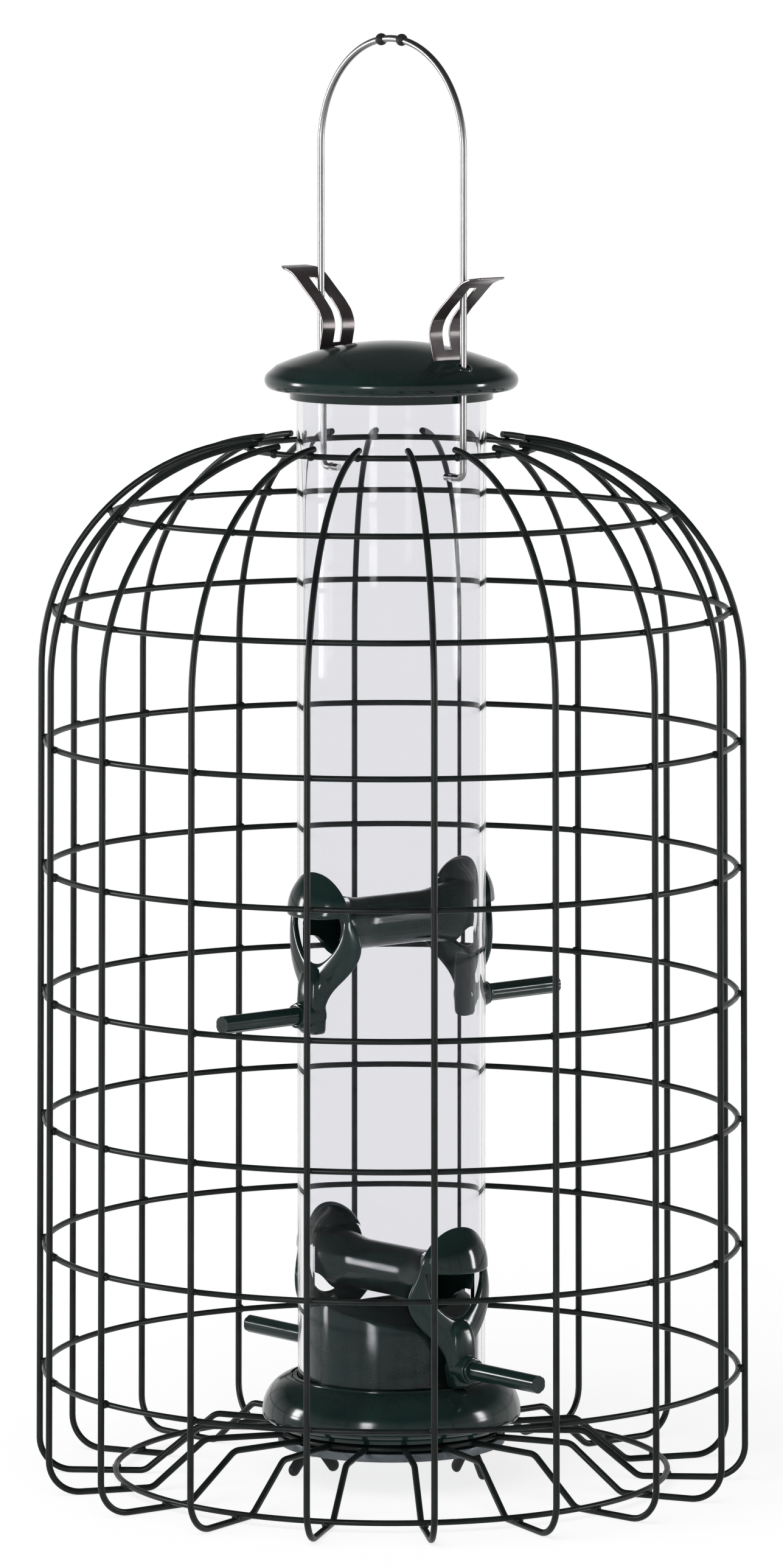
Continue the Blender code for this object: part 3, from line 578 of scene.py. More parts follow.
def baked(obj):
    """Turns an object's modifiers into plain mesh, and removes them."""
    bpy.context.view_layer.update()
    graph = bpy.context.evaluated_depsgraph_get()
    mesh = bpy.data.meshes.new_from_object(obj.evaluated_get(graph))
    obj.modifiers.clear()
    obj.data = mesh
    return obj


def carve(obj, cutters):
    """Cuts shapes out of an object, and removes the cutters."""
    for cutter in cutters:
        modifier = obj.modifiers.new(cutter.name, "BOOLEAN")
        modifier.operation = "DIFFERENCE"
        modifier.solver = "EXACT"
        modifier.object = cutter
    baked(obj)
    for cutter in cutters:
        bpy.data.objects.remove(cutter, do_unlink=True)
    return obj


def rod(name, radius, length, place, steps=24):
    """A plain closed rod that starts at the place's origin and runs along its Z, in millimetres."""
    return turned(name, to_axis([(radius, length), (radius, 0)]), steps, place=place)


def block(name, half_sizes, place, corner=0.0):
    """A block whose upright edges along the place's Z are rounded."""
    across, up, deep = half_sizes
    outline = [(across, up), (-across, up), (-across, -up), (across, -up)]
    if corner:
        outline = softened(outline, corner, 5, closed=True)
    bm = bmesh.new()
    ends = []
    for side in (deep, -deep):
        ends.append([bm.verts.new(place @ (Vector((x, y, side)) * MM)) for x, y in outline])
    bm.faces.new(ends[0])
    bm.faces.new(list(reversed(ends[1])))
    for index in range(len(outline)):
        after = (index + 1) % len(outline)
        bm.faces.new((ends[0][index], ends[1][index], ends[1][after], ends[0][after]))
    return object_from(name, bm)


def settle(obj, material, body, slot, *nodes, sharp_above=40.0):
    """Finishes a piece: shading, material, body and the CAD nodes it replaces. The record slot is not used.
    """
    obj.data.materials.clear()
    obj.data.materials.append(material)
    obj.data.shade_smooth()
    obj.data.set_sharp_from_angle(angle=math.radians(sharp_above))
    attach(obj, body)
    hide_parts(*nodes)
    print(obj.name, "->", body, "|", len(obj.data.polygons), "faces")
    return obj


print("cutting and settling helpers ready")

# %% [markdown]
# ## Seed tube
# The tube is a plain extrusion with a mouth cut for each port and two small holes for the hanger. It could
# be modelled flat and bent, but turning it and cutting the mouths is closer to how it is made. A cut
# leaves uneven shading on a curved wall, and clear plastic shows that at once, so the wall's normals
# are set again to point straight out from the axis.

# %% Seed tube
TUBE_OUTER = 31.75
TUBE_INNER = 29.75
TUBE_BOTTOM = 20.6
TUBE_TOP = 376.8
UPPER_PORT = 190.8
LOWER_PORT = 71.3
PIVOT_HEIGHT = 341.7
PIVOT_HOLE = 1.5
MOUTH_HALF_WIDTH, MOUTH_HALF_HEIGHT, MOUTH_CORNER = 11.2, 12.6, 3.5
MOUTH_DROP = 1.4
CUT_REACH = 40.0

tube_wall = [(TUBE_OUTER, TUBE_TOP), (TUBE_OUTER, TUBE_BOTTOM)]
tube_wall += [(TUBE_INNER, TUBE_BOTTOM), (TUBE_INNER, TUBE_TOP)]
seed_tube = turned("seed_tube_visual", softened(tube_wall, 0.35, 3, closed=True), 144, closed=True)
mouth_cutters = []
for level, turn in ((UPPER_PORT, 90), (LOWER_PORT, 0)):
    facing = at(z=level - MOUTH_DROP) @ turned_by(turn, "Z") @ turned_by(90, "X")
    mouth_size = (MOUTH_HALF_WIDTH, MOUTH_HALF_HEIGHT, CUT_REACH)
    mouth_cutters.append(block("mouth", mouth_size, facing, corner=MOUTH_CORNER))
across_tube = at(y=CUT_REACH, z=PIVOT_HEIGHT) @ turned_by(90, "X")
mouth_cutters.append(rod("pivot_hole", PIVOT_HOLE, 2 * CUT_REACH, across_tube, 20))
carve(seed_tube, mouth_cutters)


def point_wall_outwards(mesh):
    """Makes the curved wall shade as a true cylinder, whatever was cut out of it."""
    normals = [Vector(corner.vector) for corner in mesh.corner_normals]
    for face in mesh.polygons:
        if abs(face.normal.z) > 0.05:
            continue
        for loop in face.loop_indices:
            spot = mesh.vertices[mesh.loops[loop].vertex_index].co
            radial = Vector((spot.x, spot.y, 0)).normalized()
            if abs(face.normal.dot(radial)) > 0.99:
                normals[loop] = radial if face.normal.dot(radial) > 0 else -radial
    mesh.normals_split_custom_set(normals)


settle(seed_tube, clear_plastic, "feeder", "clear_plastic", "seed_tube", sharp_above=30)
point_wall_outwards(seed_tube.data)
print("tube height:", round(TUBE_TOP - TUBE_BOTTOM, 1), "mm")

# %% [markdown]
# ## Base cup
# The tube's foot drops into a cup with a full round bulge that sheds rain. It is turned from one profile,
# with a thin raised lip round the tube. A fine groove at the widest line is where the two halves of the
# mould met. Two bolts go down through the floor, with their heads out of sight in the seed deflector.

# %% Base cup
BULGE_RADIUS = 43.9
BULGE_HEIGHT = 22.6
BULGE_CORE = 32.7
BULGE_DOME, BULGE_BELLY = 12.8, 3.8
GROOVE_RADIUS = BULGE_RADIUS - 0.35
GROOVE_HALF_HEIGHT = 0.2
BOLT_CIRCLE = 26.5
BOLT_ANGLES = {"left": 135.0, "right": -45.0}
BOLT_HOLE = 2.4


def bolt_holes(foot, length):
    """A cutter for each bolt's hole, from the height of its foot upwards."""
    places = [turned_by(angle, "Z") @ at(x=BOLT_CIRCLE, z=foot) for angle in BOLT_ANGLES.values()]
    return [rod("bolt_hole", BOLT_HOLE, length, place) for place in places]


bulge_centre, bulge_out = (BULGE_CORE, BULGE_HEIGHT), BULGE_RADIUS - BULGE_CORE
upper_bulge = arc(bulge_centre, (bulge_out, BULGE_DOME), 80, 2.4, 18)
groove = [(GROOVE_RADIUS, BULGE_HEIGHT + rise) for rise in (GROOVE_HALF_HEIGHT, -GROOVE_HALF_HEIGHT)]
lower_bulge = arc(bulge_centre, (bulge_out, BULGE_BELLY), -7.0, -56, 10)
cup_inside = [(0.1, 20.2), (32.1, 20.2), (32.1, 35.4), (33.4, 35.4), (33.5, 34.6), (34.2, 34.55)]
cup_under = [(38.4, 18.5), (38.2, 18.2), (35.6, 18.2), (35.6, 15.6), (0.1, 15.6)]
cup_profile = softened(cup_inside, 0.3, 3) + upper_bulge + groove + lower_bulge + softened(cup_under, 0.4, 3)
base_cup = turned("base_cup_visual", to_axis(cup_profile), 128)
carve(base_cup, bolt_holes(10.0, 15.0))
settle(base_cup, green_plastic, "feeder", "green_plastic", "base_cup")

# %% [markdown]
# ## Seed deflector
# Inside the tube's foot a roof-shaped plug sends the seed out to the two lower ports. Its top is a height
# rule, a ridge that falls away to both sides, so it is built ring by ring with that rule.

# %% Seed deflector
DEFLECTOR_RADIUS = 29.4
RIDGE_HEIGHT = 62.4
RIDGE_SOFTNESS = 1.6
ROOF_SLOPE = 8.4 / 32.0
ROOF_RINGS = ((0.4, 0), (8, 0), (16, 0), (23, 0), (28.4, 0), (29.1, 0.3), (DEFLECTOR_RADIUS, 1.1))
WALL_RINGS = ((DEFLECTOR_RADIUS, 24.0), (DEFLECTOR_RADIUS, 20.9), (28.6, 20.6))
DEFLECTOR_STEPS = 96


def roof_height(y):
    """Height of the roof at a distance from its rounded ridge, which runs along X."""
    return RIDGE_HEIGHT - ROOF_SLOPE * (math.sqrt(y * y + RIDGE_SOFTNESS**2) - RIDGE_SOFTNESS)


plug_rings = []
for radius, drop in ROOF_RINGS:
    plug_rings.append([(x, y, roof_height(y) - drop) for x, y in circle(radius, DEFLECTOR_STEPS)])
for radius, height in WALL_RINGS:
    plug_rings.append([(x, y, height) for x, y in circle(radius, DEFLECTOR_STEPS)])
plug_bm = bmesh.new()
stack(plug_bm, plug_rings)
seed_deflector = object_from("seed_deflector_visual", plug_bm)
settle(seed_deflector, green_plastic, "feeder", "green_plastic", "seed_deflector")

# %% [markdown]
# ## Conduits
# A conduit joins two opposite ports straight through the tube, so that no seed is trapped behind a port. It
# flares like a trumpet at both mouths, and the lower edge of each mouth is cut away to let a bird reach
# the seed. The flare is a smooth rule, and the mouths are fitted to the round tube.

# %% Conduits
CONDUIT_OUTSIDE = (8.6, 10.8)
CONDUIT_WALL = 1.6
FLARE_START, FLARE_LENGTH = 13.0, 17.0
CONDUIT_STATIONS = 28
CHUTE_HALF_SIZES, CHUTE_CORNER = (11.0, 8.0, 16.0), 4.0
CHUTE_OUT, CHUTE_DROP = 35.5, 11.8


def smooth_step(value):
    held = min(1.0, max(0.0, value))
    return held * held * (3 - 2 * held)


def conduit_radius(x):
    """The outside's radius at a distance x from the middle: narrow inside, flared at the mouths."""
    narrow, wide = CONDUIT_OUTSIDE
    return narrow + (wide - narrow) * smooth_step((abs(x) - FLARE_START) / FLARE_LENGTH)


def make_conduit(name, level, turn):
    steps = range(CONDUIT_STATIONS + 1)
    stations = [TUBE_OUTER * (1 - 2 * step / CONDUIT_STATIONS) for step in steps]
    outer = [(conduit_radius(x), x) for x in stations]
    inner = [(radius - CONDUIT_WALL, x) for radius, x in reversed(outer)]
    bm = bmesh.new()
    spin(bm, outer + inner, 40, closed=True)
    for vert in bm.verts:
        vert.co.z *= math.sqrt(TUBE_OUTER**2 - (vert.co.y / MM) ** 2) / TUBE_OUTER
    place = at(z=level) @ turned_by(turn, "Z")
    bmesh.ops.transform(bm, matrix=place @ turned_by(90, "Y"), verts=bm.verts)
    conduit = object_from(name + "_visual", bm)
    chutes = []
    for side in (0, 180):
        mouth_edge = place @ turned_by(side, "Z") @ at(x=CHUTE_OUT, z=-CHUTE_DROP) @ turned_by(90, "X")
        chutes.append(block("chute", CHUTE_HALF_SIZES, mouth_edge, corner=CHUTE_CORNER))
    carve(conduit, chutes)
    settle(conduit, green_plastic, "feeder", "green_plastic", name)


make_conduit("upper_conduit", UPPER_PORT, 0)
make_conduit("lower_conduit", LOWER_PORT, 90)

# %% [markdown]
# ## Hooded ports
# Each port is one moulding of nearly even wall: a saddle plate that hugs the tube, a hood over the mouth,
# and a yoke whose arms run down into the stem that holds the perch. Blocks cut and joined would leave
# hard seams. Here the outer skin is a net of rays that run from the edge of the mouth to the plate's
# edge. The hood's rays follow a quarter ellipsoid. The net is given a wall, then smoothed by
# subdivision, which also rounds every lip as a mould does. The stem is a solid post behind it.

# %% Port: the net of rays
# A yoke ray goes from the mouth's edge to the yoke's edge, and both are (across, up).
PLATE_RADIUS = 34.6
HOOD_BASE = 4.0
HOOD_HALF_WIDTH = 13.0
HOOD_FLARE = 2.0
HOOD_HEIGHT = 15.0
HOOD_FOOT, HOOD_REACH, HOOD_LIP = 31.5, 9.5, 0.5
HOOD_RAYS = 16
HOOD_SWEEP = (0, 9, 26, 45, 64, 80, 90)
YOKE_FULLNESS = 0.9
STEM_FULLNESS, STEM_HALF_WIDTH = 3.3, 5.6
STEM_TOP, STEM_BLEND = -13.0, 8.0
YOKE_RAYS = (
    ((12.4, 1.4), (16.2, 2.0)),
    ((11.8, -1.3), (17.6, -1.0)),
    ((10.8, -4.0), (18.6, -4.4)),
    ((9.2, -6.5), (18.2, -9.0)),
    ((7.4, -8.4), (16.0, -13.0)),
    ((5.7, -9.8), (12.8, -16.8)),
    ((4.3, -10.7), (9.4, -19.8)),
    ((3.2, -11.2), (7.0, -23.0)),
    ((2.5, -11.4), (5.9, -26.2)),
    ((1.9, -11.5), (5.5, -29.5)),
    ((1.3, -11.6), (5.2, -33.0)),
    ((0.7, -11.6), (3.2, -35.3)),
)
MIDDLE_RAY = ((0.0, -11.6), (0.0, -35.6))


def saddle(across):
    """How far out the plate's face is, at a distance across from its middle."""
    return math.sqrt(PLATE_RADIUS**2 - across**2)


def smooth_larger(first, second, softness):
    """The larger of two values, with the change from one to the other rounded."""
    return (first + second + math.sqrt((first - second) ** 2 + softness**2)) / 2


def hood_ray(angle):
    """Points from the hood's lip back to the plate's edge, as (out, across, up)."""
    points = []
    for ring, sweep in enumerate(HOOD_SWEEP):
        share = ring / (len(HOOD_SWEEP) - 1)
        across = (HOOD_HALF_WIDTH + HOOD_FLARE * share) * math.cos(angle)
        up = HOOD_BASE + HOOD_HEIGHT * math.sin(angle) * math.sin(math.radians(sweep))
        reach = HOOD_REACH + (HOOD_LIP if ring == 0 else 0.0)
        hood = HOOD_FOOT + reach * math.sin(angle) * math.cos(math.radians(sweep))
        points.append((smooth_larger(hood, saddle(across), 0.8), across, up))
    return points


def yoke_ray(start, end, side):
    """Points from the mouth's edge to the yoke's edge, raised where the yoke and stem are full."""
    points = []
    for ring in range(len(HOOD_SWEEP)):
        share = ring / (len(HOOD_SWEEP) - 1)
        across = start[0] + (end[0] - start[0]) * share
        up = start[1] + (end[1] - start[1]) * share
        yoke = YOKE_FULLNESS * math.sin(math.pi * share)
        stem = math.sqrt(max(0.0, 1 - (across / STEM_HALF_WIDTH) ** 2))
        stem *= smooth_step((STEM_TOP - up) / STEM_BLEND)
        points.append((saddle(across) + yoke * (1 - stem) + STEM_FULLNESS * stem, side * across, up))
    return points


def port_rays():
    """Every ray of the net, in order round the mouth."""
    rays = [hood_ray(math.pi * number / HOOD_RAYS) for number in range(HOOD_RAYS + 1)]
    rays += [yoke_ray(start, end, -1) for start, end in YOKE_RAYS]
    rays.append(yoke_ray(*MIDDLE_RAY, 1))
    return rays + [yoke_ray(start, end, 1) for start, end in reversed(YOKE_RAYS)]


print("rays:", len(port_rays()))

# %% Port: skin, wall, stem and boss
# The stem's rings are (up, half width, front).
PORT_WALL = 2.0
PERCH_DROP = 29.0
BOSS_PROFILE = ((3.3, 33.0), (3.3, 41.3), (4.5, 41.3), (4.9, 38.0), (5.3, 33.0))
STEM_BACK = 32.0
STEM_STEPS = 32
STEM_RINGS = (
    (-12.6, 1.4, 34.6),
    (-13.4, 2.8, 36.2),
    (-15.5, 4.0, 37.6),
    (-19.0, 4.6, 38.5),
    (-24.0, 4.8, 38.9),
    (-31.0, 4.8, 38.9),
    (-34.2, 4.5, 38.5),
    (-35.3, 3.8, 37.6),
    (-35.8, 2.2, 36.0),
)


def make_net():
    """The port's outer skin, facing out from the tube."""
    bm = bmesh.new()
    net = [[bm.verts.new(Vector(point) * MM) for point in ray] for ray in port_rays()]
    for number, ray in enumerate(net):
        beside = net[(number + 1) % len(net)]
        for ring in range(len(ray) - 1):
            bm.faces.new((ray[ring], ray[ring + 1], beside[ring + 1], beside[ring]))
    bm.normal_update()
    if sum(face.normal.x for face in bm.faces) < 0:
        bmesh.ops.reverse_faces(bm, faces=bm.faces)
    return object_from("port_skin", bm, outward=False)


def squared(value):
    """Pushes a sine or cosine outwards, which turns a circle into a rounded square."""
    return math.copysign(math.sqrt(abs(value)), value)


def stem_rings():
    rings = []
    for up, half, front in STEM_RINGS:
        middle, deep = (front + STEM_BACK) / 2, (front - STEM_BACK) / 2
        outline = circle(1.0, STEM_STEPS)
        rings.append([(middle + deep * squared(out), half * squared(across), up) for out, across in outline])
    return rings


def make_port_mesh():
    port_skin = make_net()
    wall = port_skin.modifiers.new("wall", "SOLIDIFY")
    wall.thickness = PORT_WALL * MM
    wall.offset = -1.0
    wall.use_even_offset = True
    rounding = port_skin.modifiers.new("rounding", "SUBSURF")
    rounding.levels = 2
    rounding.render_levels = 2
    mesh = baked(port_skin).data
    mesh.name = "feeding_port"
    bm = bmesh.new()
    bm.from_mesh(mesh)
    stack(bm, stem_rings())
    bm.to_mesh(mesh)
    bm.free()
    boss = softened(BOSS_PROFILE, 0.6, 3, closed=True)
    add_turned(mesh, boss, 32, closed=True, place=at(z=-PERCH_DROP) @ turned_by(90, "Y"))
    bpy.data.objects.remove(port_skin, do_unlink=True)
    return mesh


PORTS = {
    "upper_port_left": (UPPER_PORT, 180),
    "upper_port_right": (UPPER_PORT, 0),
    "lower_port_front": (LOWER_PORT, -90),
    "lower_port_back": (LOWER_PORT, 90),
}
port_mesh = make_port_mesh()
for port_name, (level, turn) in PORTS.items():
    port = placed(port_name + "_visual", port_mesh.copy())
    port.data.transform(at(z=level) @ turned_by(turn, "Z"))
    settle(port, green_plastic, "feeder", "green_plastic", port_name, sharp_above=60)

# %% [markdown]
# ## Geometry Nodes helpers
# Perches, cage wires, welds, threads and the hanger all repeat, or follow a path, so each grows from a
# small tree of geometry nodes. The sizes are named inputs, so one tree can make several pieces. `grow`
# runs a tree on a starting mesh, and keeps the result as a plain mesh with no modifier left.

# %% Geometry Nodes helpers


def new_tree(name, inputs):
    """A geometry tree with a geometry in and out, a material, and the named number inputs."""
    tree = bpy.data.node_groups.new(name, "GeometryNodeTree")
    tree.interface.new_socket("Geometry", in_out="INPUT", socket_type="NodeSocketGeometry")
    tree.interface.new_socket("Material", in_out="INPUT", socket_type="NodeSocketMaterial")
    for label, (kind, value) in inputs.items():
        socket = tree.interface.new_socket(label, in_out="INPUT", socket_type="NodeSocket" + kind)
        socket.default_value = value
    tree.interface.new_socket("Geometry", in_out="OUTPUT", socket_type="NodeSocketGeometry")
    return tree, node(tree, "NodeGroupInput")


def end_tree(tree, source, result):
    """Closes a tree: real geometry instead of instances, smooth, with its material."""
    real = node(tree, "GeometryNodeRealizeInstances", {"Geometry": result})
    smooth = node(tree, "GeometryNodeSetShadeSmooth", {"Geometry": real})
    paint = {"Geometry": smooth, "Material": source.outputs["Material"]}
    painted = node(tree, "GeometryNodeSetMaterial", paint)
    node(tree, "NodeGroupOutput", {"Geometry": painted})
    print("tree:", tree.name, "|", len(tree.nodes), "nodes")


def swept(tree, line, outline):
    """An outline drawn along a line, with its ends closed."""
    inputs = {"Curve": line, "Profile Curve": outline, "Fill Caps": True}
    return node(tree, "GeometryNodeCurveToMesh", inputs)


def ring_curve(tree, steps, radius):
    return node(tree, "GeometryNodeCurvePrimitiveCircle", {"Resolution": steps, "Radius": radius})


def path_mesh(name, points, closed=False):
    """A line of edges through points in millimetres."""
    mesh = bpy.data.meshes.new(name)
    edges = [(index, index + 1) for index in range(len(points) - 1)]
    if closed:
        edges.append((len(points) - 1, 0))
    mesh.from_pydata([Vector(point) * MM for point in points], edges, [])
    return mesh


def grow(name, start, tree, material, **values):
    """Runs a tree on a starting mesh, with a value for each of its inputs."""
    obj = placed(name, start)
    modifier = obj.modifiers.new(tree.name, "NODES")
    modifier.node_group = tree
    values = {label.replace("_", " "): value for label, value in values.items()}
    values["Material"] = material
    for item in tree.interface.items_tree:
        if item.in_out == "INPUT" and item.name in values:
            modifier[item.identifier] = values[item.name]
    return baked(obj)


print("geometry node helpers ready")

# %% Tree: wire along a path
wire_tree, source = new_tree(
    "wire_along_path",
    {
        "Wire Radius": ("Float", 0.001),
        "Sides": ("Int", 12),
        "Copies": ("Int", 1),
        "First Angle": ("Float", 0.0),
    },
)
line = node(wire_tree, "GeometryNodeMeshToCurve", {"Mesh": source.outputs["Geometry"]})
outline = ring_curve(wire_tree, source.outputs["Sides"], source.outputs["Wire Radius"])
one_wire = swept(wire_tree, line, outline)
anchors = node(wire_tree, "GeometryNodePoints", {"Count": source.outputs["Copies"]})
step_angle = maths(wire_tree, "DIVIDE", math.tau, source.outputs["Copies"])
turn = maths(wire_tree, "MULTIPLY", node(wire_tree, "GeometryNodeInputIndex"), step_angle)
turn = maths(wire_tree, "ADD", turn, source.outputs["First Angle"])
rotation = node(wire_tree, "ShaderNodeCombineXYZ", {"Z": turn})
copy_inputs = {"Points": anchors, "Instance": one_wire, "Rotation": rotation}
copies = node(wire_tree, "GeometryNodeInstanceOnPoints", copy_inputs)
end_tree(wire_tree, source, copies)

# %% [markdown]
# ## Perches
# A perch is a short peg that plugs into the stem. Six shallow flutes give a bird's claws a grip, and the tip
# is domed. A fluted outline swept along a line does both: its radius shrinks near the tip.

# %% Tree: fluted peg
# The dome starts at this share of the length, and a small flat is left at its top.
DOME_START = 0.94
DOME_FULLNESS = 2.4
DOME_FLAT = 0.03

peg_tree, source = new_tree(
    "fluted_peg",
    {
        "Length": ("Float", 0.04),
        "Peg Radius": ("Float", 0.003),
        "Flutes": ("Int", 6),
        "Flute Depth": ("Float", 0.00025),
    },
)
peg_end = node(peg_tree, "ShaderNodeCombineXYZ", {"X": source.outputs["Length"]})
peg_line = node(peg_tree, "GeometryNodeCurvePrimitiveLine", {"End": peg_end})
peg_points = node(peg_tree, "GeometryNodeResampleCurve", {"Curve": peg_line, "Count": 90})
along = node(peg_tree, "GeometryNodeSplineParameter").outputs["Factor"]
near_tip = remapped(peg_tree, along, DOME_START, 1.0)
tip_fall = maths(peg_tree, "POWER", near_tip, DOME_FULLNESS)
dome_left = maths(peg_tree, "SUBTRACT", 1.0 + DOME_FLAT, tip_fall)
dome = maths(peg_tree, "MINIMUM", maths(peg_tree, "SQRT", dome_left), 1.0)
domed_line = node(peg_tree, "GeometryNodeSetCurveRadius", {"Curve": peg_points, "Radius": dome})
outline = ring_curve(peg_tree, 64, 1.0)
around = node(peg_tree, "GeometryNodeSplineParameter").outputs["Factor"]
flute_number = maths(peg_tree, "MULTIPLY", around, source.outputs["Flutes"])
flute_angle = maths(peg_tree, "MULTIPLY", flute_number, math.tau)
wave = remapped(peg_tree, maths(peg_tree, "COSINE", flute_angle), 0.1, 1.0)
dip = maths(peg_tree, "MULTIPLY", wave, source.outputs["Flute Depth"])
flute_radius = maths(peg_tree, "SUBTRACT", source.outputs["Peg Radius"], dip)
here = node(peg_tree, "GeometryNodeInputPosition")
fluted_place = node(peg_tree, "ShaderNodeVectorMath", {0: here, "Scale": flute_radius}, operation="SCALE")
fluted = node(peg_tree, "GeometryNodeSetPosition", {"Geometry": outline, "Position": fluted_place})
end_tree(peg_tree, source, swept(peg_tree, domed_line, fluted))

# %% Perches
PERCH_START = 34.4
PERCH_TIP = 74.5
PERCH_RADIUS = 3.0
FLUTE_COUNT = 6
FLUTE_DEPTH = 0.18
COLLAR_PROFILE = ((2.7, 7.1), (4.1, 7.1), (4.1, 8.2), (2.7, 8.2))

collar = softened(COLLAR_PROFILE, 0.35, 2, closed=True)
for port_name, (level, turn) in PORTS.items():
    perch_name = port_name.replace("port", "perch")
    perch = grow(
        perch_name + "_visual",
        path_mesh("perch_start", [(0, 0, 0)]),
        peg_tree,
        green_plastic,
        Length=(PERCH_TIP - PERCH_START) * MM,
        Peg_Radius=PERCH_RADIUS * MM,
        Flutes=FLUTE_COUNT,
        Flute_Depth=FLUTE_DEPTH * MM,
    )
    add_turned(perch.data, collar, 32, closed=True, place=turned_by(90, "Y"))
    perch.data.transform(at(z=level) @ turned_by(turn, "Z") @ at(x=PERCH_START, z=-PERCH_DROP))
    settle(perch, green_plastic, "feeder", "green_plastic", perch_name, sharp_above=50)

# %% [markdown]
# ## Cage
# Eighteen ribs rise from the base, bend round the foot and over the dome. Hoops inside them are spot
# welded at every crossing. One rib is drawn as a path, and the wire tree sweeps and repeats it. For the
# hoops, a start mesh holds one point per hoop, at its radius and height, and a second tree turns each
# point into a ring. A third tree puts a squashed weld at each crossing, a little different each time,
# from a fixed seed.

# %% Ribs
RIB_COUNT = 18
FIRST_RIB_ANGLE = math.radians(-4.3)
RIB_RADIUS = 1.1
HOOP_RADIUS = 1.0
DOME_CENTRE = (40.0, 274.6)
DOME_RADIUS = 78.0
TIP_OUT = 6.6
FOOT_RADIUS = 120.0
KNEE_RADIUS, RIB_END_RADIUS = 65.5, 38.5
INNER_RUN_HEIGHT = 16.6
FOOT_BEND, KNEE_BEND = (11.0, 12), (5.0, 5)

tip_angle = math.degrees(math.acos(TIP_OUT / DOME_RADIUS))
shoulder = (DOME_CENTRE[0] + DOME_RADIUS, DOME_CENTRE[1])
rib_line = arc(DOME_CENTRE, (DOME_RADIUS, DOME_RADIUS), tip_angle, 0, 30)
foot_line = [shoulder, (FOOT_RADIUS, RIB_RADIUS), (84.0, RIB_RADIUS)]
foot_line += [(KNEE_RADIUS, INNER_RUN_HEIGHT), (RIB_END_RADIUS, INNER_RUN_HEIGHT)]


def filleted(before, corner, after, radius, steps):
    """A true arc that rounds a corner between two straight runs."""
    corner = Vector(corner)
    back = (Vector(before) - corner).normalized()
    ahead = (Vector(after) - corner).normalized()
    half = back.angle(ahead) / 2
    reach = radius / math.tan(half)
    centre = corner + (back + ahead).normalized() * (radius / math.sin(half))
    start = corner + back * reach - centre
    end = corner + ahead * reach - centre
    sweep = start.angle(end)
    if start.x * end.y < start.y * end.x:
        sweep = -sweep
    turns = [Matrix.Rotation(sweep * step / steps, 2) for step in range(steps + 1)]
    return [tuple(centre + turn @ start) for turn in turns]


for number, (radius, steps) in enumerate((FOOT_BEND, KNEE_BEND, KNEE_BEND)):
    rib_line += filleted(*foot_line[number : number + 3], radius, steps)
rib_line.append(foot_line[-1])
cage_ribs = grow(
    "cage_ribs_visual",
    path_mesh("rib_path", [(radius, 0, z) for radius, z in rib_line]),
    wire_tree,
    coated_wire,
    Wire_Radius=RIB_RADIUS * MM,
    Sides=14,
    Copies=RIB_COUNT,
    First_Angle=FIRST_RIB_ANGLE,
)
rib_nodes = ["cage_rib_{:02d}".format(number + 1) for number in range(RIB_COUNT)]
settle(cage_ribs, coated_wire, "feeder", "coated_wire", *rib_nodes, sharp_above=60)

# %% Tree: rings from points


def rings_at_points(tree, source, unit_ring, turn=(0.0, 0.0, 0.0)):
    """A ring for each start point, as wide as the point is far out, at its height, round the Z axis."""
    place = node(tree, "GeometryNodeInputPosition")
    apart = node(tree, "ShaderNodeSeparateXYZ", {0: place})
    size = node(tree, "ShaderNodeCombineXYZ", {0: apart.outputs["X"], 1: apart.outputs["X"], 2: 1.0})
    dots = node(tree, "GeometryNodeMeshToPoints", {"Mesh": source.outputs["Geometry"]})
    ring_inputs = {"Points": dots, "Instance": unit_ring, "Rotation": turn, "Scale": size}
    sized = node(tree, "GeometryNodeInstanceOnPoints", ring_inputs)
    to_middle = node(tree, "ShaderNodeVectorMath", {0: place, 1: (-1.0, -1.0, 0.0)}, operation="MULTIPLY")
    slide_inputs = {"Instances": sized, "Translation": to_middle, "Local Space": False}
    centred = node(tree, "GeometryNodeTranslateInstances", slide_inputs)
    return node(tree, "GeometryNodeRealizeInstances", {"Geometry": centred})


ring_tree, source = new_tree(
    "rings_from_points", {"Wire Radius": ("Float", 0.001), "Sides": ("Int", 12), "Steps": ("Int", 144)}
)
rings = rings_at_points(ring_tree, source, ring_curve(ring_tree, source.outputs["Steps"], 1.0))
outline = ring_curve(ring_tree, source.outputs["Sides"], source.outputs["Wire Radius"])
end_tree(ring_tree, source, swept(ring_tree, rings, outline))

# %% Hoops
HOOP_INSET = RIB_RADIUS + HOOP_RADIUS + 0.1
DOME_HOOP_HEIGHTS = (328.2, 295.4)
WALL_HOOP_COUNT = 6
WALL_HOOP_TOP = 251.7
WALL_HOOP_SPACING = 42.66
TOP_RING_RADIUS = 48.0
FOOT_HOOP_RADIUS = 93.6
BASE_RING_RADIUS = 37.2


def wall_radius(height):
    """Radius of the ribs' centre line on the wall, which widens a little towards the foot."""
    return shoulder[0] + (FOOT_RADIUS - shoulder[0]) * (shoulder[1] - height) / shoulder[1]


def inner_dome(offset):
    """How far the inside of the dome is from its centre one way, at an offset the other way."""
    return math.sqrt((DOME_RADIUS - HOOP_INSET) ** 2 - offset**2)


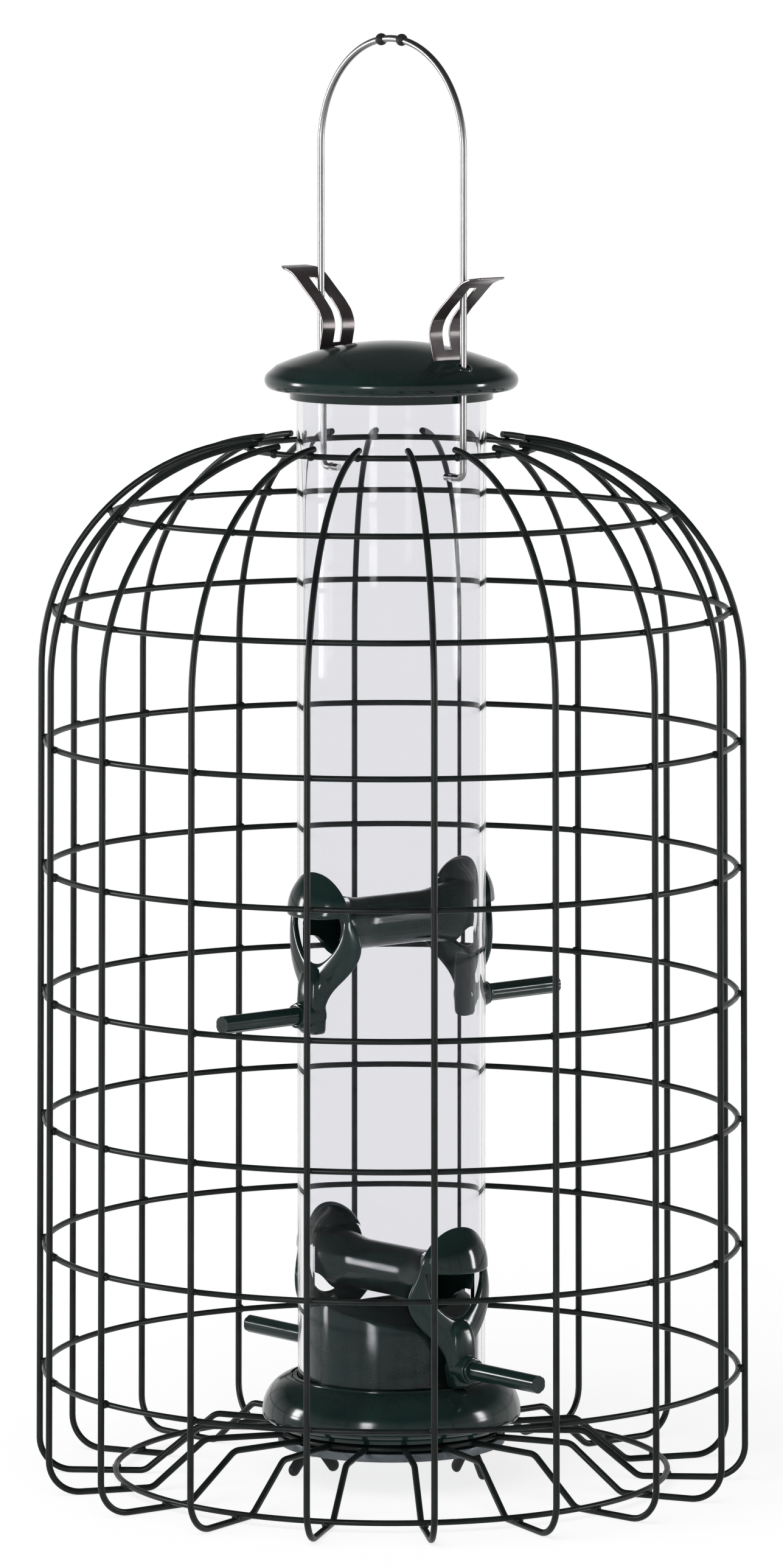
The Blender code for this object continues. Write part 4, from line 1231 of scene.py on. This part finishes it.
hoops = [(DOME_CENTRE[0] + inner_dome(height - DOME_CENTRE[1]), height) for height in DOME_HOOP_HEIGHTS]
for number in range(WALL_HOOP_COUNT):
    height = WALL_HOOP_TOP - number * WALL_HOOP_SPACING
    hoops.append((wall_radius(height) - HOOP_INSET, height))
top_ring = (TOP_RING_RADIUS, DOME_CENTRE[1] + inner_dome(TOP_RING_RADIUS - DOME_CENTRE[0]))
foot_hoop = (FOOT_HOOP_RADIUS, RIB_RADIUS + HOOP_INSET)
base_ring = (BASE_RING_RADIUS, INNER_RUN_HEIGHT)
all_rings = [*hoops, top_ring, foot_hoop, base_ring]
cage_hoops = grow(
    "cage_hoops_visual",
    path_mesh("hoop_points", [(radius, 0, height) for radius, height in all_rings]),
    ring_tree,
    coated_wire,
    Wire_Radius=HOOP_RADIUS * MM,
    Sides=12,
    Steps=144,
)
hoop_nodes = ["cage_hoop_{:02d}".format(number + 1) for number in range(len(hoops))]
hoop_nodes += ["cage_top_ring", "cage_foot_hoop", "cage_base_ring"]
settle(cage_hoops, coated_wire, "feeder", "coated_wire", *hoop_nodes, sharp_above=60)

# %% Tree: welds at the crossings
weld_tree, source = new_tree(
    "welds_at_crossings",
    {
        "Weld Size": ("Float", 0.0014),
        "Ribs": ("Int", 18),
        "First Angle": ("Float", 0.0),
        "Seed": ("Int", 7),
    },
)
spots = node(weld_tree, "GeometryNodeMeshCircle", {"Vertices": source.outputs["Ribs"], "Radius": 1.0})
turn = node(weld_tree, "ShaderNodeCombineXYZ", {"Z": source.outputs["First Angle"]})
crossings = rings_at_points(weld_tree, source, spots, turn)
blob_inputs = {"Radius": source.outputs["Weld Size"], "Subdivisions": 2}
blob = node(weld_tree, "GeometryNodeMeshIcoSphere", blob_inputs)
least, most = (0.85, 0.85, 0.75), (1.2, 1.2, 1.1)
spread_inputs = {0: least, 1: most, "Seed": source.outputs["Seed"]}
spread = node(weld_tree, "FunctionNodeRandomValue", spread_inputs, data_type="FLOAT_VECTOR")
weld_inputs = {"Points": crossings, "Instance": blob, "Scale": spread}
end_tree(weld_tree, source, node(weld_tree, "GeometryNodeInstanceOnPoints", weld_inputs))

# %% Welds
# A weld sits between hoop and rib: outside a hoop on the wall or dome, and under the foot hoop. The base
# ring lies hidden between the plate and the cup, so it has none.
WELD_OUT, WELD_UP, WELD_DOWN = 0.55, 0.1, 1.0

welded = [(radius + WELD_OUT, 0, height + WELD_UP) for radius, height in [*hoops, top_ring]]
welded.append((foot_hoop[0], 0, foot_hoop[1] - WELD_DOWN))
cage_welds = grow(
    "cage_welds_visual",
    path_mesh("weld_points", welded),
    weld_tree,
    coated_wire,
    Weld_Size=1.45 * MM,
    Ribs=RIB_COUNT,
    First_Angle=FIRST_RIB_ANGLE,
    Seed=7,
)
settle(cage_welds, coated_wire, "feeder", "coated_wire", sharp_above=60)

# %% [markdown]
# ## Under the base
# A zinc-plated disc clamps the cage's inner ring against the base. Two flat-headed bolts come down through
# it, and each takes a black wing nut that is turned by hand when the cage comes off for cleaning.

# %% Retaining plate
plate_profile = [(0.1, 15.3), (38.5, 15.3), (38.5, 12.3), (36.0, 12.3), (35.4, 12.6)]
plate_profile += [(16.0, 12.6), (14.0, 11.6), (0.1, 11.6)]
retaining_plate = turned("cage_retaining_plate_visual", to_axis(softened(plate_profile, 0.5, 4)), 112)
carve(retaining_plate, bolt_holes(8.0, 10.0))
settle(retaining_plate, zinc_plate, "feeder", "zinc_plate", "cage_retaining_plate")

# %% Wing nuts
# Each nut is roughed out of overlapping blobs, like clay, and then skinned over and smoothed, which gives
# the soft blends of a small moulding. A wing's root and tip are (out, up).
WING_ANGLES = {"left": 171.0, "right": 83.0}
WING_ROOT, WING_TIP = Vector((2.6, 9.4)), Vector((7.8, 2.6))
WING_RADIUS = 2.2
WING_ROOT_HALF, WING_TIP_HALF = 1.15, 1.5
WING_BLOBS = 10
NUT_BORE = 1.98


def make_wing_nut(side):
    bm = bmesh.new()
    spin(bm, to_axis([(4.4, 12.0), (3.6, 7.3)]), 32)
    for number in range(WING_BLOBS):
        share = number / (WING_BLOBS - 1)
        out, up = WING_ROOT.lerp(WING_TIP, share)
        half = WING_ROOT_HALF + (WING_TIP_HALF - WING_ROOT_HALF) * share
        size = Matrix.Diagonal((WING_RADIUS * MM, half * MM, WING_RADIUS * MM, 1.0))
        for hand in (1, -1):
            blob = at(x=hand * out, z=up) @ size
            bmesh.ops.create_uvsphere(bm, u_segments=16, v_segments=10, radius=1.0, matrix=blob)
    nut = object_from("wing_nut_" + side + "_visual", bm)
    skin_over = nut.modifiers.new("skin_over", "REMESH")
    skin_over.mode = "VOXEL"
    skin_over.voxel_size = 0.3 * MM
    smoothing = nut.modifiers.new("smoothing", "SMOOTH")
    smoothing.factor = 0.6
    smoothing.iterations = 5
    baked(nut)
    bolt = Matrix.Translation((turned_by(BOLT_ANGLES[side], "Z") @ at(x=BOLT_CIRCLE)).translation)
    nut.data.transform(bolt @ turned_by(WING_ANGLES[side], "Z"))
    carve(nut, [rod("nut_bore", NUT_BORE, 8.0, bolt @ at(z=5))])
    settle(nut, black_plastic, "feeder", "black_plastic", "wing_nut_" + side, sharp_above=50)


for nut_side in BOLT_ANGLES:
    make_wing_nut(nut_side)

# %% Tree: screw thread
thread_tree, source = new_tree(
    "screw_thread",
    {"Thread Radius": ("Float", 0.0019), "Pitch": ("Float", 0.0007), "Length": ("Float", 0.006)},
)
helix_inputs = {
    "Resolution": 24,
    "Rotations": maths(thread_tree, "DIVIDE", source.outputs["Length"], source.outputs["Pitch"]),
    "Start Radius": source.outputs["Thread Radius"],
    "End Radius": source.outputs["Thread Radius"],
    "Height": source.outputs["Length"],
}
helix = node(thread_tree, "GeometryNodeCurveSpiral", helix_inputs)
ridge_size = maths(thread_tree, "MULTIPLY", source.outputs["Pitch"], 0.42)
end_tree(thread_tree, source, swept(thread_tree, helix, ring_curve(thread_tree, 4, ridge_size)))

# %% Bolts
THREAD_RADIUS, THREAD_PITCH, THREAD_LENGTH = 1.66, 0.7, 10.0
THREAD_BOTTOM = 6.8
SHANK_PROFILE = ((0.1, 19.9), (3.8, 19.9), (1.7, 17.9), (1.7, 6.8), (1.3, 6.4))

shank = to_axis(softened(SHANK_PROFILE, 0.2, 2))
for side, angle in BOLT_ANGLES.items():
    bolt = grow(
        "base_bolt_" + side + "_visual",
        path_mesh("thread_start", [(0, 0, 0)]),
        thread_tree,
        bolt_steel,
        Thread_Radius=THREAD_RADIUS * MM,
        Pitch=THREAD_PITCH * MM,
        Length=THREAD_LENGTH * MM,
    )
    bolt.data.transform(at(z=THREAD_BOTTOM))
    add_turned(bolt.data, shank, 28)
    bolt.data.transform(turned_by(angle, "Z") @ at(x=BOLT_CIRCLE))
    settle(bolt, bolt_steel, "feeder", "bolt_steel", "base_bolt_" + side)

# %% [markdown]
# ## Lid
# The lid is a shallow dome with a full rolled rim and a collar that plugs the tube. Two holes let it slide
# on the hanger's legs, and two slots hold the latch leaves. Small raised eyelets stiffen the holes.

# %% Lid
LID_TOP = 385.7
LID_FALL = 6.3 / 33.8**2
LID_WALL = 2.0
RIM_CENTRE, RIM_RADIUS = (39.3, 372.7), 3.2
HANGER_RADIUS = 36.2
WIRE_HOLE = 1.9
LATCH_SLOT_HALF_SIZES = (7.4, 1.05, 6.0)
LATCH_SLOT_OUT = 29.05
EYELET_PROFILE = ((1.95, 0.75), (2.9, 0.75), (3.3, -0.4), (1.95, -0.4))


def lid_height(radius):
    """The dome is a shallow bowl upside down, so its height falls with the square of the radius."""
    return LID_TOP - LID_FALL * radius**2


lid_outer = [(radius, lid_height(radius)) for radius in (0, 4, 8, 12, 16, 20, 24, 28, 31, 34, 36.5, 38.6)]
lid_rim = arc(RIM_CENTRE, (RIM_RADIUS, RIM_RADIUS), 58, -90, 16)
lid_under = softened([(39.0, 369.5), (38.4, 369.5), (38.4, 374.9), (34.05, 376.9), (34.05, 366.4)], 0.4, 2)
lid_collar = softened([(34.05, 366.8), (34.05, 366.4), (32.6, 366.4), (32.6, 377.6)], 0.3, 3)
lid_inner = [(radius, lid_height(radius) - LID_WALL) for radius in (30, 24, 16, 8, 0)]
lid_profile = lid_outer + lid_rim + lid_under[1:-1] + lid_collar[1:-1] + lid_inner
lid_cap = turned("lid_cap_visual", lid_profile, 128)
lid_cutters = []
for side in (-1, 1):
    lid_cutters.append(rod("wire_hole", WIRE_HOLE, 20.0, at(y=side * HANGER_RADIUS, z=370)))
    slot_place = at(y=side * LATCH_SLOT_OUT, z=382.4)
    lid_cutters.append(block("latch_slot", LATCH_SLOT_HALF_SIZES, slot_place, corner=0.9))
carve(lid_cap, lid_cutters)
eyelet = softened(EYELET_PROFILE, 0.4, 3, closed=True)
lean = math.degrees(math.atan(2 * LID_FALL * HANGER_RADIUS))
for side in (-1, 1):
    on_dome = at(y=side * HANGER_RADIUS, z=lid_height(HANGER_RADIUS)) @ turned_by(-side * lean, "X")
    add_turned(lid_cap.data, eyelet, 32, closed=True, place=on_dome)
settle(lid_cap, green_plastic, "lid", "green_plastic", "lid_cap")

# %% [markdown]
# ## Latches
# A latch is one strip of spring steel. Its tail hooks under the lid, it leans in to a crease, then sweeps
# out over the hanger's leg to a thumb tab. A long slot lets the leg pass. The strip is laid out as rows of
# points along its side view, the slot is left open between its two rails, and a wall gives it body.

# %% Latch leaves
# The side view is (radius, height), from the tail to the tab. The slot runs from a height to a radius, and
# each row has points at these shares of a rail's width, close together at its edges.
LEAF_HALF_WIDTH = 7.0
LEAF_THICKNESS = 0.7
SLOT_HALF_WIDTH = 1.6
SLOT_START_HEIGHT, SLOT_END_RADIUS = 383.65, 41.4
RAIL_SHARES = (0.0, 0.03, 0.19, 0.5, 0.81, 0.97, 1.0)
TAB_CORNER_RUN, TAB_CORNER_DEPTH = 2.0, 1.6
SWEEP_START = 4
LEAF_LINE = (
    (26.4, 377.9),
    (28.7, 378.1),
    (29.1, 381.0),
    (28.47, 383.6),
    (27.6, 387.2),
    (27.2, 389.4),
    (27.6, 391.8),
    (29.0, 394.6),
    (32.2, 397.9),
    (36.2, 401.2),
    (40.2, 404.6),
    (41.4, 405.55),
    (43.0, 406.8),
    (46.4, 408.0),
    (50.5, 408.6),
)


def leaf_rows():
    """The strip's side view, with its bends rounded: the crease tightly, the sweep gently."""
    tail = softened(LEAF_LINE[: SWEEP_START + 1], 0.9, 3)
    sweep = softened(LEAF_LINE[SWEEP_START:], 1.0, 4)
    return tail[:-1] + sweep


def tab_half_width(radius):
    """The tab's corners are rounded off near its tip."""
    from_tip = min(1.0, max(0.0, LEAF_LINE[-1][0] - radius) / TAB_CORNER_RUN)
    return LEAF_HALF_WIDTH - TAB_CORNER_DEPTH * (1 - math.sqrt(1 - (1 - from_tip) ** 2))


def make_leaf_skin(side):
    """The strip without its thickness: two rails, joined across except along the slot."""
    bm = bmesh.new()
    rows = []
    for radius, height in leaf_rows():
        rail = tab_half_width(radius) - SLOT_HALF_WIDTH
        rails = []
        for hand in (-1, 1):
            row = [hand * (SLOT_HALF_WIDTH + rail * share) for share in RAIL_SHARES]
            rails.append([bm.verts.new(Vector((x, side * radius, height)) * MM) for x in row])
        rows.append((radius, height, rails))
    for (_, height, rails), (radius_after, _, rails_after) in zip(rows, rows[1:]):
        for rail, rail_after in zip(rails, rails_after):
            for step in range(len(rail) - 1):
                bm.faces.new((rail[step], rail[step + 1], rail_after[step + 1], rail_after[step]))
        if height < SLOT_START_HEIGHT or radius_after > SLOT_END_RADIUS:
            inner_edges = [rail[0] for rail in rails + rails_after[::-1]]
            bm.faces.new(inner_edges)
    return bm


def make_leaf(name, body, side):
    leaf = object_from(name + "_visual", make_leaf_skin(side))
    wall = leaf.modifiers.new("wall", "SOLIDIFY")
    wall.thickness = LEAF_THICKNESS * MM
    wall.offset = 0.0
    wall.use_even_offset = True
    edge = leaf.modifiers.new("edge", "BEVEL")
    edge.width = 0.14 * MM
    edge.segments = 2
    edge.limit_method = "ANGLE"
    edge.angle_limit = math.radians(50)
    baked(leaf)
    settle(leaf, stainless_strip, body, "stainless_strip", name, sharp_above=50)


make_leaf("front_latch_leaf", "front_latch", -1)
make_leaf("back_latch_leaf", "back_latch", 1)

# %% [markdown]
# ## Hanger
# The hanger is one length of stainless wire. Its ends hook into the tube's wall, its legs pass through the
# lid and the latches, and its top is a half circle with two small beads that keep the hook in the middle.
# The path is drawn once, and the same wire tree that made the ribs sweeps it.

# %% Hanger
ARCH_HEIGHT = 450.1
HANGER_WIRE = 1.15
WIRE_END = 27.2
ELBOW_RADIUS = 2.4
LEG_MIDDLE = 400.0

hook_end, hook_corner = (WIRE_END, PIVOT_HEIGHT), (HANGER_RADIUS, PIVOT_HEIGHT)
elbow = filleted(hook_end, hook_corner, (HANGER_RADIUS, ARCH_HEIGHT), ELBOW_RADIUS, 8)
leg = [hook_end, *elbow, (HANGER_RADIUS, LEG_MIDDLE)]
arch = arc((0, ARCH_HEIGHT), (HANGER_RADIUS, HANGER_RADIUS), 0, 180, 60)
hanger_line = leg + arch + [(-across, height) for across, height in reversed(leg)]
hanger = grow(
    "bail_wire_visual",
    path_mesh("hanger_path", [(0, across, height) for across, height in hanger_line]),
    wire_tree,
    stainless_wire,
    Wire_Radius=HANGER_WIRE * MM,
    Sides=20,
    Copies=1,
    First_Angle=0.0,
)
settle(hanger, stainless_wire, "bail", "stainless_wire", "bail_wire", sharp_above=60)

# %% Beads
BEAD_OFFSET = 5.2
BEAD_RADIUS = 2.05
BEAD_BARREL = 1.95
BEAD_BORE, BEAD_HALF_LENGTH = 1.2, 1.75

barrel = arc((0, 0), (BEAD_RADIUS, BEAD_BARREL), 60, -60, 12)
bead_profile = [(BEAD_BORE, BEAD_HALF_LENGTH), *barrel, (BEAD_BORE, -BEAD_HALF_LENGTH)]
for bead_name, side in (("front_hanger_bead", -1), ("back_hanger_bead", 1)):
    lean = math.degrees(side * BEAD_OFFSET / HANGER_RADIUS)
    on_arch = at(z=ARCH_HEIGHT) @ turned_by(-lean, "X") @ at(z=HANGER_RADIUS) @ turned_by(90, "X")
    bead = turned(bead_name + "_visual", bead_profile, 32, closed=True, place=on_arch)
    settle(bead, black_plastic, "bail", "black_plastic", bead_name, sharp_above=50)
